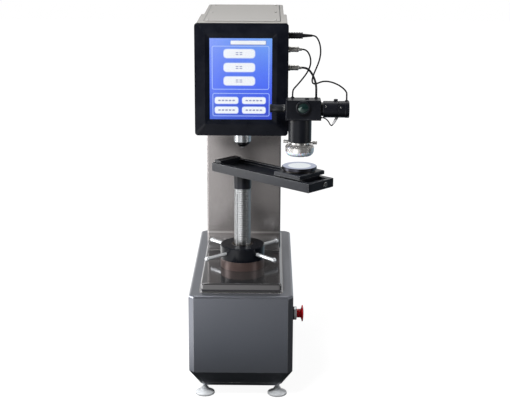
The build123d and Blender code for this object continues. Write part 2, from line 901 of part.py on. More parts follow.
def optics_box():
    """Housing of the measuring eyepiece and the beam splitter."""
    box = block((box_left, box_right), (box_front, box_front + box_depth), (box_floor, box_top))
    box = fillet(box.edges(), box_edge)
    box += block(
        (box_left - box_foot_lip, box_right + box_foot_lip),
        (box_front - box_foot_lip, box_front + box_depth + box_foot_lip),
        (box_floor, box_floor + box_foot),
    )
    sleeve_bore = rod(eyepiece_sleeve_radius + running, -eyepiece_sleeve - part_gap, cut_over)
    box -= along_front(sleeve_bore, eyepiece_x, box_front, eyepiece_z)
    shaft_bore = rod(drum_shaft_radius + running, -cut_over, drum_shaft + part_gap)
    return box - along_x(shaft_bore, box_left, side_axis_y, drum_axis_z)


def eyepiece_ring():
    ring = turned([
        (eyepiece_bore, -eyepiece_sleeve), (eyepiece_sleeve_radius, -eyepiece_sleeve),
        (eyepiece_sleeve_radius, part_gap), (eyepiece_radius, part_gap),
        (eyepiece_radius, eyepiece_length - broken_edge),
        (eyepiece_radius - broken_edge, eyepiece_length),
        (eyepiece_bore, eyepiece_length),
    ])
    return along_front(ring, eyepiece_x, box_front, eyepiece_z)


def eyepiece_glass():
    """Lens with a crowned front."""
    front = eyepiece_length - eyepiece_lens_crown - eyepiece_lens_inset
    rim = eyepiece_bore - seat
    ball = (rim ** 2 + eyepiece_lens_crown ** 2) / (2 * eyepiece_lens_crown)
    blank = rod(rim, front - eyepiece_lens_depth, front + eyepiece_lens_crown)
    lens = blank & (Pos(0, 0, front + eyepiece_lens_crown - ball) * Sphere(ball))
    return along_front(lens, eyepiece_x, box_front, eyepiece_z)


def measuring_drum():
    """Drum that moves the measuring line, with its shaft in the box."""
    drum_end = box_left - box_foot_lip - part_gap
    drum = rod(drum_radius, drum_end - drum_length, drum_end)
    drum += rod(drum_cap_radius, drum_end - drum_length - drum_cap, drum_end - drum_length)
    drum += rod(drum_shaft_radius, drum_end - cut_over, box_left + drum_shaft)
    return along_x(drum, 0, side_axis_y, drum_axis_z)


def camera_barrel():
    """Video camera on the box's right side: adaptor, body, end ring and focus lock knob."""
    body_foot = camera_step
    body_end = camera_step + camera_length
    barrel = turned([
        (0, box_foot_lip), (camera_step_radius, box_foot_lip), (camera_step_radius, body_foot),
        (camera_radius, body_foot), (camera_radius, camera_seam - camera_groove),
        (camera_radius - camera_groove, camera_seam), (camera_radius, camera_seam + camera_groove),
        (camera_radius, body_end), (camera_ring_radius, body_end + camera_groove),
        (camera_ring_radius, body_end + camera_ring - camera_groove),
        (camera_ring_radius - camera_groove, body_end + camera_ring), (0, body_end + camera_ring),
    ])
    barrel = along_x(barrel, box_right, side_axis_y, camera_axis_z)
    knob = rod(camera_knob_radius, camera_axis_z, camera_axis_z + camera_radius + camera_knob_rise)
    return barrel + Pos(box_right + camera_knob_reach, side_axis_y, 0) * knob


def camera_gland(barrel):
    """Tapered sleeve under the camera, cut to sit on the barrel."""
    top = Vector(relief_top[0], side_axis_y, camera_axis_z - relief_top[1])
    foot = Vector(relief_foot[0], side_axis_y, camera_axis_z - relief_foot[1])
    axis = Plane(origin=foot, z_dir=top - foot)
    length = (top - foot).length
    sleeve = axis * Cone(
        relief_foot_radius, relief_top_radius, length, align=(Align.CENTER, Align.CENTER, Align.MIN)
    )
    return sleeve - barrel


def ring_light_body():
    """Bowl that clamps round the objective and holds the ring of lamps."""
    neck_foot = ring_top - ring_neck_height
    shoulder = neck_foot - ring_shoulder_height
    foot = ring_top - ring_height
    bore_top = (foot + neck_foot) / 2
    bowl = turned([
        (objective_radius + seat, ring_top), (ring_neck_radius, ring_top), (ring_neck_radius, neck_foot),
        (ring_shoulder_radius, shoulder), (ring_radius, neck_foot - ring_rim_drop),
        (ring_wall_radius, foot), (ring_bore, foot), (ring_bore, bore_top),
        (objective_radius + seat, bore_top),
    ])
    for angle in thumb_angles:
        hole = along_x(
            rod(thumb_stem_radius + running, objective_radius, ring_neck_radius + cut_over),
            0, 0, scope_floor - thumb_drop,
        )
        bowl -= Rot(0, 0, angle) * hole
    return at_scope(bowl)


def ring_light_diffuser():
    """Frosted ring under the lamps, rounded in towards its foot."""
    top = ring_top - ring_height
    foot = top - diffuser_height
    section = make_face([
        Line((ring_bore, foot), (diffuser_foot_radius, foot)),
        ThreePointArc(
            (diffuser_foot_radius, foot),
            (diffuser_waist_radius, foot + diffuser_height * 0.4),
            (ring_wall_radius, top),
        ),
        Line((ring_wall_radius, top), (ring_bore, top)),
        Line((ring_bore, top), (ring_bore, foot)),
    ])
    return at_scope(revolve(Plane.XZ * section, Axis.Z))


def thumbscrew(angle):
    screw = rod(thumb_stem_radius, objective_radius + part_gap, thumb_reach + cut_over)
    screw += rod(thumb_head_radius, thumb_reach, thumb_reach + thumb_head)
    return at_scope(Rot(0, 0, angle) * along_x(screw, 0, 0, scope_floor - thumb_drop))


# ------------------------------------------------------------------ connectors and leads
def panel_sockets():
    """Three panel sockets in the head's right wall."""
    bush = rod(socket_radius, 0, socket_rim) + rod(socket_body_radius, -socket_body, cut_over)
    return Compound([along_x(bush, head_side, socket_y, height) for height in socket_heights])


def black_plug():
    """Moulded plug with grip ribs and a tapered relief."""
    grip_pitch = black_plug_length / (2 * black_grips + 1)
    outline = [(0, 0), (black_plug_radius, 0)]
    for grip in range(black_grips):
        start = (2 * grip + 1) * grip_pitch
        low = black_plug_radius - black_grip_depth
        outline += [(black_plug_radius, start), (low, start), (low, start + grip_pitch),
                    (black_plug_radius, start + grip_pitch)]
    outline += [
        (black_plug_radius, black_plug_length), (black_relief_root, black_plug_length),
        (black_relief_tip, black_plug_length + black_relief_length),
        (0, black_plug_length + black_relief_length),
    ]
    return along_x(turned(outline), plug_root, socket_y, socket_heights[0])


def silver_plug(height):
    """Metal plug: coupling nut, body and cable clamp."""
    body_end = silver_nut + silver_body
    plug = turned([
        (0, 0), (silver_nut_radius, 0), (silver_nut_radius, silver_nut),
        (silver_body_radius, silver_nut), (silver_body_radius, body_end),
        (silver_tip_radius, body_end + broken_edge), (silver_tip_radius, body_end + silver_tip),
        (0, body_end + silver_tip),
    ])
    return along_x(plug, plug_root, socket_y, height)


def lead(name, route, diameter):
    """Round lead along straight runs joined by arcs as large as the runs allow."""
    points = [Vector(*point) for point in route]
    runs = [after - before for before, after in zip(points, points[1:])]
    radii = []
    for before, after in zip(runs, runs[1:]):
        turn = radians(before.get_angle(after))
        radii.append(0.45 * min(before.length, after.length) / tan(turn / 2))
    path = FilletPolyline(*points, radius=radii)
    solid = sweep(Plane(origin=points[0], z_dir=runs[0]) * Circle(diameter / 2), path=path)
    expected = pi * diameter ** 2 / 4 * path.length
    print(name, "length", round(path.length, 1), "volume ratio", round(solid.volume / expected, 4),
          "radii", [round(radius, 1) for radius in radii])
    return solid


# ------------------------------------------------------------------ stop button and mains inlet
def estop_collar():
    """Collar, threaded barrel and contact block of the emergency stop."""
    collar = turned([
        (stem_radius + running, -barrel_length), (barrel_radius, -barrel_length),
        (barrel_radius, 0), (collar_radius, 0), (collar_radius, collar_length - broken_edge),
        (collar_radius - broken_edge, collar_length), (collar_bore, collar_length),
        (collar_bore, collar_floor), (stem_radius + running, collar_floor),
    ])
    half = contact_size / 2
    contact_end = -barrel_length - contact_length
    contacts = block((-half, half), (-half, half), (contact_end, -barrel_length))
    contacts -= rod(stem_radius + running, contact_end + contact_wall, cut_over)
    return along_x(collar + contacts, base_side, button_y, button_z)


def estop_stem():
    return along_x(rod(stem_radius, stem_tip - stem_length, stem_tip), base_side, button_y, button_z)


def estop_button():
    """Mushroom head on a flared neck, hollow for its stem."""
    flare_foot = neck_root + button_neck
    disc = flare_foot + button_flare
    rim_top = disc + button_rim
    top = rim_top + button_crown
    head = turned([
        (0, neck_root), (button_neck_radius, neck_root), (button_neck_radius, flare_foot),
        (button_flare_radius, disc), (button_radius, disc), (button_radius, top), (0, top),
    ])
    crown = (button_radius ** 2 + button_crown ** 2) / (2 * button_crown)
    head &= Pos(0, 0, top - crown) * Sphere(crown)
    head -= rod(stem_radius + running, neck_root - cut_over, stem_tip + part_gap)
    return along_x(head, base_side, button_y, button_z)


def power_inlet():
    """Flanged mains inlet with three pins and an opening for its switch."""
    flange = block(
        (-inlet_width / 2, inlet_width / 2), (0, inlet_flange), (-inlet_height / 2, inlet_height / 2)
    )
    body = block(
        (-inlet_body_width / 2, inlet_body_width / 2), (-inlet_body, 0),
        (-inlet_body_height / 2, inlet_body_height / 2),
    )
    inlet = flange + body
    recess_floor = inlet_flange - inlet_recess_depth
    inlet -= block(
        (-inlet_recess_width / 2, inlet_recess_width / 2), (recess_floor, inlet_flange + cut_over),
        (-inlet_socket_drop - inlet_recess_height / 2, -inlet_socket_drop + inlet_recess_height / 2),
    )
    for column_index in (-1, 0, 1):
        x = column_index * pin_pitch
        inlet += block(
            (x - pin_width / 2, x + pin_width / 2), (recess_floor, recess_floor + pin_length),
            (-inlet_socket_drop - pin_height / 2, -inlet_socket_drop + pin_height / 2),
        )
    half_width = rocker_width / 2 + rocker_room
    half_height = rocker_height / 2 + part_gap
    inlet -= block(
        (-half_width, half_width), (-rocker_keel - rocker_room, inlet_flange + cut_over),
        (inlet_switch_rise - half_height, inlet_switch_rise + half_height),
    )
    pin_end = rocker_height / 2 + rocker_pin_length + part_gap
    pivot = rod(rocker_pin_radius + running, inlet_switch_rise - pin_end, inlet_switch_rise + pin_end)
    return Pos(inlet_x, base_back, inlet_z) * (inlet - pivot)


def rocker_switch():
    """Rocker tilted to its off side, with the pins of its upright pivot."""
    half = rocker_width / 2
    plan = make_face(Polyline(
        (-half, -rocker_root), (-half, rocker_rise), (0, rocker_dip), (half, rocker_rise),
        (half, -rocker_root), (0, -rocker_keel), close=True,
    ))
    rocker = extrude(Pos(0, 0, -rocker_height / 2) * plan, rocker_height)
    pin_end = rocker_height / 2 + rocker_pin_length
    rocker += rod(rocker_pin_radius, -pin_end, pin_end)
    return Pos(inlet_x, base_back, inlet_z + inlet_switch_rise) * Rot(0, 0, rocker_tilt) * rocker


# ------------------------------------------------------------------ the whole tester
barrel = camera_barrel()
pieces = {
    "base_housing": base_housing(),
    "base_plate": base_plate(),
    "plinth_plate": plinth_plate(),
    "column": column(),
    "head_shell": head_shell(),
    "top_cover": top_cover(),
    "rear_cover": rear_cover(),
    "screen_bezel": screen_bezel(),
    "touch_glass": screen_slab(glass_front, glass_thickness),
    "display_panel": screen_slab(glass_front + glass_thickness, panel_depth),
    "screw_guide": screw_guide(),
    "bearing_ring": tube(bearing_radius, bearing_bore, plinth_top, plinth_top + bearing_height),
    "handwheel_hub": handwheel_hub(),
    "handwheel_spokes": handwheel_spokes(),
    "lifting_nut": tube(nut_radius, screw_radius + running, hub_floor - nut_drop, hub_top),
    "elevating_screw": elevating_screw(),
    "stage_neck": stage_neck(),
    "stage_rail": stage_rail(),
    "rail_end_stop": rail_end_stop(),
    "carriage": carriage(),
    "anvil_seat": anvil_seat(),
    "anvil_disc": anvil_disc(),
    "press_frame": press_frame(),
    "spindle_guide": spindle_guide(),
    "spindle": spindle(),
    "indenter_nut": indenter_nut(),
    "indenter_ball": Pos(0, 0, ball_centre) * Sphere(ball_radius),
    "load_cell": load_cell(),
    "drive_screw": drive_screw(),
    "drive_motor": drive_motor(),
    "microscope_arm": microscope_arm(),
    "microscope_tube": microscope_tube(),
    "objective": objective(),
    "optics_box": optics_box(),
    "eyepiece_ring": eyepiece_ring(),
    "eyepiece_glass": eyepiece_glass(),
    "measuring_drum": measuring_drum(),
    "camera_barrel": barrel,
    "camera_gland": camera_gland(barrel),
    "ring_light_body": ring_light_body(),
    "ring_light_diffuser": ring_light_diffuser(),
    "left_thumbscrew": thumbscrew(thumb_angles[0]),
    "right_thumbscrew": thumbscrew(thumb_angles[1]),
    "panel_sockets": panel_sockets(),
    "black_plug": black_plug(),
    "upper_silver_plug": silver_plug(socket_heights[1]),
    "lower_silver_plug": silver_plug(socket_heights[2]),
    "black_lead": lead("black_lead", black_route, thin_lead),
    "upper_lead": lead("upper_lead", upper_route, thin_lead),
    "lower_lead": lead("lower_lead", lower_route, thick_lead),
    "camera_lead": lead("camera_lead", camera_route, camera_lead_diameter),
    "estop_collar": estop_collar(),
    "estop_stem": estop_stem(),
    "estop_button": estop_button(),
    "power_inlet": power_inlet(),
    "rocker_switch": rocker_switch(),
}
for name, (x, y) in foot_places.items():
    pieces[name] = levelling_foot(x, y)

for name, piece in pieces.items():
    export_step(piece, f"parts/{name}.step")
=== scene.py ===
"""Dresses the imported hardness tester: camera, leads, finishes, and the small pieces on its castings."""
import math

import bmesh
import bpy
from mathutils import Matrix, Vector


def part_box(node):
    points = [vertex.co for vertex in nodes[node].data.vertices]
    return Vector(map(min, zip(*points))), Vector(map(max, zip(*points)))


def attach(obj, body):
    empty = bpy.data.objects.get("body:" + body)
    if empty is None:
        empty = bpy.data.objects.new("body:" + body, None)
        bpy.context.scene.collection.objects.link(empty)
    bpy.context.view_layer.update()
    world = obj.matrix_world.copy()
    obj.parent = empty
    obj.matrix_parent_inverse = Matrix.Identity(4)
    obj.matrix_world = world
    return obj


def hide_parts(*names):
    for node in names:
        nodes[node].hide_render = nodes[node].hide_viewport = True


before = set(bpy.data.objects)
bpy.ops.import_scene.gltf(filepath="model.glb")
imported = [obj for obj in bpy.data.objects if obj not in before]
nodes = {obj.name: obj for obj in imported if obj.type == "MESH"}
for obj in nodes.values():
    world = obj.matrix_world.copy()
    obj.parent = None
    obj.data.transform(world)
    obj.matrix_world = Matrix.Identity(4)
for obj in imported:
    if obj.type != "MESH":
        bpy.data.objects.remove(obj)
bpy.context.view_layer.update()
MM = 0.001

# ------------------------------------------------------------------ camera, in metres
CAMERA_PLACE = (0.070801, -2.965938, 1.271668)
CAMERA_RIGHT = (0.99990016, 0.01371145, 0.003416)
CAMERA_UP = (-0.00680714, 0.25555089, 0.96677164)
CAMERA_LENS = 82.38


def place_camera():
    right = Vector(CAMERA_RIGHT)
    up = Vector(CAMERA_UP)
    back = right.cross(up)
    turn = Matrix((right, up, back)).transposed().to_4x4()
    data = bpy.data.cameras.new("camera")
    data.lens = CAMERA_LENS
    data.clip_start = 0.05
    data.clip_end = 60
    camera = bpy.data.objects.new("camera", data)
    camera.matrix_world = Matrix.Translation(CAMERA_PLACE) @ turn
    bpy.context.scene.collection.objects.link(camera)
    bpy.context.scene.camera = camera


place_camera()

# ------------------------------------------------------------------ leads, points in metres
BLACK_LEAD = (
    (0.1744, -0.060, 0.9262), (0.182, -0.060, 0.9262), (0.1905, -0.060, 0.915),
    (0.1955, -0.060, 0.898), (0.196, -0.061, 0.8795), (0.192, -0.062, 0.8615),
    (0.185, -0.065, 0.8445), (0.178, -0.068, 0.8285), (0.1745, -0.0715, 0.8155),
    (0.178, -0.075, 0.8075), (0.187, -0.080, 0.8095), (0.200, -0.088, 0.8165),
    (0.216, -0.097, 0.818), (0.233, -0.107, 0.814), (0.2475, -0.117, 0.807),
    (0.2585, -0.1275, 0.797), (0.258, -0.140, 0.790), (0.258, -0.140, 0.7771),
)
UPPER_LEAD = (
    (0.149, -0.060, 0.892), (0.1575, -0.060, 0.892), (0.167, -0.058, 0.882),
    (0.172, -0.055, 0.866), (0.171, -0.0525, 0.8495), (0.1635, -0.053, 0.833),
    (0.152, -0.060, 0.8185), (0.140, -0.076, 0.807), (0.1315, -0.094, 0.801),
    (0.1275, -0.108, 0.798), (0.126, -0.121, 0.793), (0.126, -0.121, 0.781),
)
LOWER_LEAD = (
    (0.149, -0.060, 0.8462), (0.1595, -0.060, 0.8462), (0.170, -0.066, 0.8395),
    (0.178, -0.079, 0.828), (0.183, -0.094, 0.8155), (0.1845, -0.109, 0.8045),
    (0.184, -0.124, 0.796), (0.184, -0.124, 0.781),
)
CAMERA_LEAD = (
    (0.195, -0.154, 0.7375), (0.201, -0.154, 0.7375), (0.207, -0.1525, 0.7345),
    (0.212, -0.150, 0.730), (0.2158, -0.147, 0.724), (0.2188, -0.1434, 0.7175),
    (0.2238, -0.140, 0.7141), (0.2267, -0.140, 0.7205),
)


def lead_line(name, route, diameter):
    """Round lead on a smooth line through its route's control points."""
    curve = bpy.data.curves.new(name, "CURVE")
    curve.dimensions = "3D"
    curve.resolution_u = 16
    curve.bevel_depth = 1.0
    curve.bevel_resolution = 5
    curve.use_fill_caps = True
    spline = curve.splines.new("NURBS")
    spline.points.add(len(route) - 1)
    for point, place in zip(spline.points, route):
        point.co = (*place, 1)
        point.radius = diameter / 2
    spline.order_u = 3
    spline.use_endpoint_u = True
    line = bpy.data.objects.new(name, curve)
    bpy.context.scene.collection.objects.link(line)
    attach(line, "frame")
    return line


# ------------------------------------------------------------------ shader graphs
class Value:
    """A node's output, with arithmetic that adds Math nodes."""

    def __init__(self, finish, socket):
        self.finish = finish
        self.socket = socket

    def maths(self, operation, *values):
        settings = {"operation": operation}
        return self.finish.node("Math", settings, dict(enumerate(values)))

    def __add__(self, other):
        return self.maths("ADD", self, other)

    def __sub__(self, other):
        return self.maths("SUBTRACT", self, other)

    def __rsub__(self, other):
        return self.maths("SUBTRACT", other, self)

    def __mul__(self, other):
        return self.maths("MULTIPLY", self, other)

    def __truediv__(self, other):
        return self.maths("DIVIDE", self, other)

    def __rtruediv__(self, other):
        return self.maths("DIVIDE", other, self)

    def clamped(self, low, high):
        """0 at the low value, 1 at the high one, and smooth between them."""
        settings = {"interpolation_type": "SMOOTHSTEP"}
        return self.finish.node("MapRange", settings, {0: self, 1: low, 2: high})

    __radd__ = __add__
    __rmul__ = __mul__


class Finish:
    """A material with one Principled shader."""

    def __init__(self, name, sockets):
        self.material = bpy.data.materials.new(name)
        self.material.use_nodes = True
        self.tree = self.material.node_tree
        self.shader = self.tree.nodes["Principled BSDF"]
        self.set(self.shader, sockets)

    def set(self, node, sockets):
        for name, value in sockets.items():
            socket = node.inputs[name]
            if isinstance(value, Value):
                self.tree.links.new(value.socket, socket)
            else:
                socket.default_value = value

    def node(self, kind, settings=None, sockets=None, output=0):
        """Any node by its kind, its settings, the values or links of its sockets, and its output."""
        node = self.tree.nodes.new(f"ShaderNode{kind}")
        for name, value in (settings or {}).items():
            setattr(node, name, value)
        self.set(node, sockets or {})
        return Value(self, node.outputs[output]) if node.outputs else None

    def varies(self, **sockets):
        """Link the sockets that change over the surface, named with underscores."""
        self.set(self.shader, {name.replace("_", " "): value for name, value in sockets.items()})
        return self

    def place(self):
        return self.node("TexCoord", output="Object")

    def split(self, vector):
        return [self.node("SeparateXYZ", None, {0: vector}, axis) for axis in "XYZ"]

    def stretched(self, scale):
        return self.node("VectorMath", {"operation": "MULTIPLY"}, {0: self.place(), 1: scale})

    def noise(self, scale, detail, vector=None, roughness=0.5):
        sockets = {"Vector": vector or self.place(), "Scale": scale, "Detail": detail}
        return self.node("TexNoise", None, {**sockets, "Roughness": roughness})

    def mix(self, factor, first, second):
        """Colour between two others; the Mix node's colour sockets are known by their numbers."""
        settings = {"data_type": "RGBA", "clamp_factor": True}
        return self.node("Mix", settings, {0: factor, 6: first, 7: second}, 2)

    def rounded(self, radius):
        """Normal of the surface with its sharp edges rounded off."""
        return self.node("Bevel", {"samples": 4}, {"Radius": radius})

    def edges(self, radius):
        """1 along sharp edges, 0 on the faces between them."""
        settings = {"operation": "DOT_PRODUCT"}
        flat = self.node("NewGeometry", output="Normal")
        along = self.node("VectorMath", settings, {0: self.rounded(radius), 1: flat}, "Value")
        return (1 - along).clamped(0.02, 0.20)

    def bump(self, height, distance, strength, edge=None):
        sockets = {"Height": height, "Distance": distance, "Strength": strength}
        if edge:
            sockets["Normal"] = self.rounded(edge)
        return self.node("Bump", None, sockets)


def grey(level, warm=0.0):
    """Neutral colour, warmer for a positive second value and cooler for a negative one."""
    return (level * (1 + warm), level, level * (1 - warm), 1.0)


# ------------------------------------------------------------------ finishes
HIGHLIGHT_REACH = 0.0045     # how far the painted highlight line reaches above and below its height, in metres
COVE_DROP = 0.010       # from the painted highlight line down to where the cove begins to darken
COVE_FADE = 0.024       # height over which it darkens
COVE_SHADE = (0.085, 0.090, 0.100, 1)


def metallic_paint(name, colour, roughness, metal, edge_wear_and_highlight, highlight_height=None):
    """Baked enamel with fine flake, faint orange peel, and edges painted lighter, partly wear and partly
    painted highlight.

    With the height of its highlight line, in metres above the floor, a painted highlight line runs round
    there, and the cove under it is darker, a painted reflection that stands in for a dark surrounding the
    cove would mirror.
    """
    paint = Finish(name, {"Coat Weight": 0.1, "Coat Roughness": 0.08, "Coat IOR": 1.45})
    cloud = paint.noise(5, 2)
    flake = paint.noise(2600, 1)
    peel = paint.noise(420, 2)
    edge = paint.edges(1.6 * MM)
    darker = tuple(channel * 0.9 for channel in colour[:3]) + (1,)
    body = paint.mix(cloud, darker, colour)
    if highlight_height:
        height = paint.split(paint.place())[2]
        from_highlight = paint.node("Math", {"operation": "ABSOLUTE"}, {0: height - highlight_height})
        # painted highlight: a lighter line round the column at this height
        edge = edge + (HIGHLIGHT_REACH - from_highlight).clamped(0.0, 0.004) * 0.45
        # painted reflection: the cove below the line darkens towards COVE_SHADE
        below = (highlight_height - COVE_DROP - height).clamped(0.0, COVE_FADE)
        body = paint.mix(below * 0.75, body, COVE_SHADE)
    body = paint.mix((flake - 0.55) * 1.2, body, grey(0.5, 0.02))
    return paint.varies(
        # edges painted lighter: partly wear, partly painted highlight
        Base_Color=paint.mix(edge * 0.8, body, edge_wear_and_highlight),
        Metallic=metal - edge * (metal * 0.6),
        Roughness=roughness + (cloud - 0.5) * 0.08 + (flake - 0.5) * 0.05,
        Normal=paint.bump(peel, 0.02 * MM, 0.35, edge=1.4 * MM),
    )


def moulding(name, colour, roughness, grain, depth, edge_wear_and_highlight, shine=0.4, rim=0.6):
    """Moulded or anodised surface: grain, handling marks, and edges painted lighter, partly wear and
    partly painted highlight.
    """
    skin = Finish(name, {"Specular IOR Level": shine})
    marks = skin.noise(28, 5, roughness=0.65)
    texture = skin.noise(grain, 2)
    edge = skin.edges(rim * MM)
    lighter = tuple(channel * 1.35 + 0.002 for channel in colour[:3]) + (1,)
    return skin.varies(
        # edges painted lighter: partly wear, partly painted highlight
        Base_Color=skin.mix(edge * 0.7, skin.mix(marks.clamped(0.35, 0.75), colour, lighter), edge_wear_and_highlight),
        Roughness=roughness + (marks - 0.5) * 0.14 + (texture - 0.5) * 0.06,
        Normal=skin.bump(texture, depth, 0.5, edge=0.5 * MM),
    )


def turned_metal(name, colour, roughness, lay, depth, edge_wear_and_highlight=None, metallic=1.0):
    """Bare metal with the tool's lay: the scale of its streaks along X, Y and Z."""
    metal = Finish(name, {"Metallic": metallic})
    streaks = metal.noise(1, 3, metal.stretched(lay), roughness=0.6)
    stains = metal.noise(22, 4, roughness=0.6)
    edge = metal.edges(0.5 * MM)
    darker = tuple(channel * 0.70 for channel in colour[:3]) + (1,)
    body = metal.mix(streaks.clamped(0.3, 0.7), darker, colour)
    return metal.varies(
        # edges painted lighter: partly wear, partly painted highlight
        Base_Color=metal.mix(edge * 0.6, body, edge_wear_and_highlight or grey(0.85, 0.01)),
        Roughness=roughness + (streaks - 0.5) * 0.18 + (stains - 0.5) * 0.10,
        Normal=metal.bump(streaks, depth * MM, 0.6, edge=0.4 * MM),
    )


LAY_UPRIGHT = (60, 60, 2600)
LAY_ALONG_X = (2600, 60, 60)
LAY_FLAT = (1500, 1500, 30)
LAY_ROUND = (260, 260, 8)
# height of the column's painted highlight line, in metres
COLUMN_HIGHLIGHT_HEIGHT = 0.351

base_paint = metallic_paint("base enamel", (0.205, 0.214, 0.245, 1), 0.32, 0.80, grey(0.60, 0.03))
plinth_paint = metallic_paint(
    "plinth enamel", (0.235, 0.230, 0.236, 1), 0.11, 0.93, grey(0.75, 0.03),
)
column_paint = metallic_paint(
    "column enamel", (0.365, 0.342, 0.338, 1), 0.27, 0.68, grey(0.75, 0.03), highlight_height=COLUMN_HIGHLIGHT_HEIGHT,
)
head_paint = metallic_paint("head enamel", (0.235, 0.226, 0.213, 1), 0.50, 0.30, grey(0.50, 0.03))
bezel_black = moulding(
    "bezel black", (0.0030, 0.0036, 0.0062, 1), 0.24, 900, 0.004 * MM, grey(0.03, -0.05), shine=0.16,
)
hub_black = moulding(
    "hub black", (0.0035, 0.004, 0.006, 1), 0.14, 700, 0.006 * MM, grey(0.10, -0.04), shine=0.15,
)
plastic_black = moulding(
    "plug black", (0.005, 0.005, 0.006, 1), 0.45, 1500, 0.02 * MM, grey(0.04), shine=0.25,
)
anodised = moulding(
    "black anodised", (0.0035, 0.004, 0.006, 1), 0.34, 2200, 0.008 * MM, grey(0.10, -0.03), shine=0.22,
)
blacked_steel = moulding(
    "blacked steel", (0.0055, 0.0065, 0.010, 1), 0.30, 1600, 0.01 * MM, grey(0.40, -0.03),
    shine=0.28, rim=1.3,
)
jacket = moulding(
    "lead jacket", (0.004, 0.004, 0.005, 1), 0.45, 1800, 0.01 * MM, grey(0.03), shine=0.2,
)
button_red = moulding(
    "button red", (0.72, 0.004, 0.012, 1), 0.22, 500, 0.006 * MM, (0.62, 0.03, 0.04, 1), shine=0.3,
)
grey_sleeve = moulding("grey sleeve", (0.42, 0.42, 0.43, 1), 0.55, 1200, 0.02 * MM, grey(0.6))
screw_steel = turned_metal("screw steel", grey(0.62, -0.02), 0.30, LAY_UPRIGHT, 0.006)
sleeve_steel = turned_metal(
    "ground steel", grey(0.62, -0.04), 0.28, LAY_UPRIGHT, 0.004, metallic=0.75,
)
chrome = turned_metal("spoke chrome", grey(0.88, -0.03), 0.16, LAY_FLAT, 0.001, metallic=0.65)
ring_copper = turned_metal(
    "bearing copper", (0.105, 0.072, 0.066, 1), 0.34, LAY_UPRIGHT, 0.008, (0.45, 0.34, 0.30, 1), 0.4,
)
seat_bronze = turned_metal(
    "seat bronze", (0.060, 0.056, 0.056, 1), 0.30, LAY_UPRIGHT, 0.006, (0.34, 0.32, 0.31, 1),
)
warm_silver = turned_metal(
    "warm silver", (0.80, 0.78, 0.76, 1), 0.26, LAY_ROUND, 0.0004, metallic=0.88,
)
nickel = turned_metal("nickel", (0.56, 0.55, 0.53, 1), 0.24, LAY_ALONG_X, 0.004, metallic=0.85)
zinc = turned_metal("foot zinc", grey(0.92, -0.03), 0.45, LAY_UPRIGHT, 0.01, metallic=0.5)
bright_screw = turned_metal("screw zinc", grey(0.72, 0.01), 0.18, LAY_FLAT, 0.002)
bronze = turned_metal("nut bronze", (0.12, 0.092, 0.062, 1), 0.34, LAY_UPRIGHT, 0.008)


ANVIL_TOP = (0.1448, -0.1350, 0.6112)


def anvil_finish():
    """Lapped top that mirrors its surroundings, with a painted reflection of the ring light in its
    colour, pale blue-white in the middle and duller blue-grey towards its edge, and a dark rim.
    """
    steel = Finish("lapped anvil", {"Metallic": 1.0})
    upward = steel.split(steel.node("NewGeometry", output="Normal"))[2]
    top = upward.clamped(0.85, 0.98)
    from_middle = {0: steel.place(), 1: ANVIL_TOP}
    away = steel.node("VectorMath", {"operation": "DISTANCE"}, from_middle, "Value")
    # painted reflection of the ring light: pale in the middle, blue-grey towards the edge
    lapped_with_painted_reflection = steel.mix(away.clamped(0.026, 0.031), (0.90, 0.96, 1.0, 1), (0.34, 0.39, 0.56, 1))
    lapping = steel.noise(1, 4, steel.stretched((700, 900, 5)), roughness=0.7)
    return steel.varies(
        Base_Color=steel.mix(top, (0.050, 0.050, 0.062, 1), lapped_with_painted_reflection),
        Roughness=0.24 - top * 0.18 + (lapping - 0.5) * 0.08,
        Normal=steel.bump(lapping, 0.002 * MM, 0.4, edge=0.4 * MM),
    )


COLLAR_REFLECTION_SPLIT = (0.1382, 0.1385)   # where the painted reflection turns from black to pale, along X


def collar_finish():
    """Plated collar of the emergency stop with a painted reflection: black at its foot, pale on its front
    ring.
    """
    collar = Finish("stop collar", {"Specular IOR Level": 0.4})
    front = collar.split(collar.place())[0].clamped(*COLLAR_REFLECTION_SPLIT)
    grain = collar.noise(1500, 2)
    return collar.varies(
        # painted reflection: black foot, pale front ring
        Base_Color=collar.mix(front, (0.006, 0.007, 0.009, 1), grey(0.88, -0.02)),
        Metallic=front * 0.25,
        Roughness=0.42 - front * 0.16 + (grain - 0.5) * 0.06,
        Normal=collar.bump(grain, 0.01 * MM, 0.4, edge=0.4 * MM),
    )


SIDE_AXIS = -140.0      # depth of the drum's and the camera's axes, in millimetres
DRUM_HEIGHT = 757.5
DRUM_END = 108.4
SHORT_LINE = 4.5        # where the dial's lines end, from the drum's end
LONG_LINE = 7.5
LINE_START = 0.6


def dial_finish():
    """Black drum with a hundred white division lines, every tenth one longer."""
    dial = Finish("graduated drum", {"Specular IOR Level": 0.4})
    across, depth, up = dial.split(dial.place())
    from_axis = {0: up - DRUM_HEIGHT * MM, 1: depth - SIDE_AXIS * MM}
    angle = dial.node("Math", {"operation": "ARCTAN2"}, from_axis) / (2 * math.pi)
    fine = dial.node("Math", {"operation": "PINGPONG"}, {0: angle * 50 + 50, 1: 0.5})
    tenth = dial.node("Math", {"operation": "PINGPONG"}, {0: angle * 10 + 10, 1: 0.5})
    edge = DRUM_END * MM - across
    short = (0.10 - fine).clamped(0.0, 0.03) * (SHORT_LINE * MM - edge).clamped(0.0, 0.0002)
    long = (0.02 - tenth).clamped(0.0, 0.006) * (LONG_LINE * MM - edge).clamped(0.0, 0.0002)
    line = (short + long).clamped(0.0, 0.5) * (edge - LINE_START * MM).clamped(0.0, 0.0002)
    grain = dial.noise(2200, 2)
    return dial.varies(
        Base_Color=dial.mix(line, (0.011, 0.012, 0.014, 1), grey(0.72)),
        Roughness=0.36 + (grain - 0.5) * 0.06,
        Normal=dial.bump(grain, 0.008 * MM, 0.4, edge=0.4 * MM),
    )


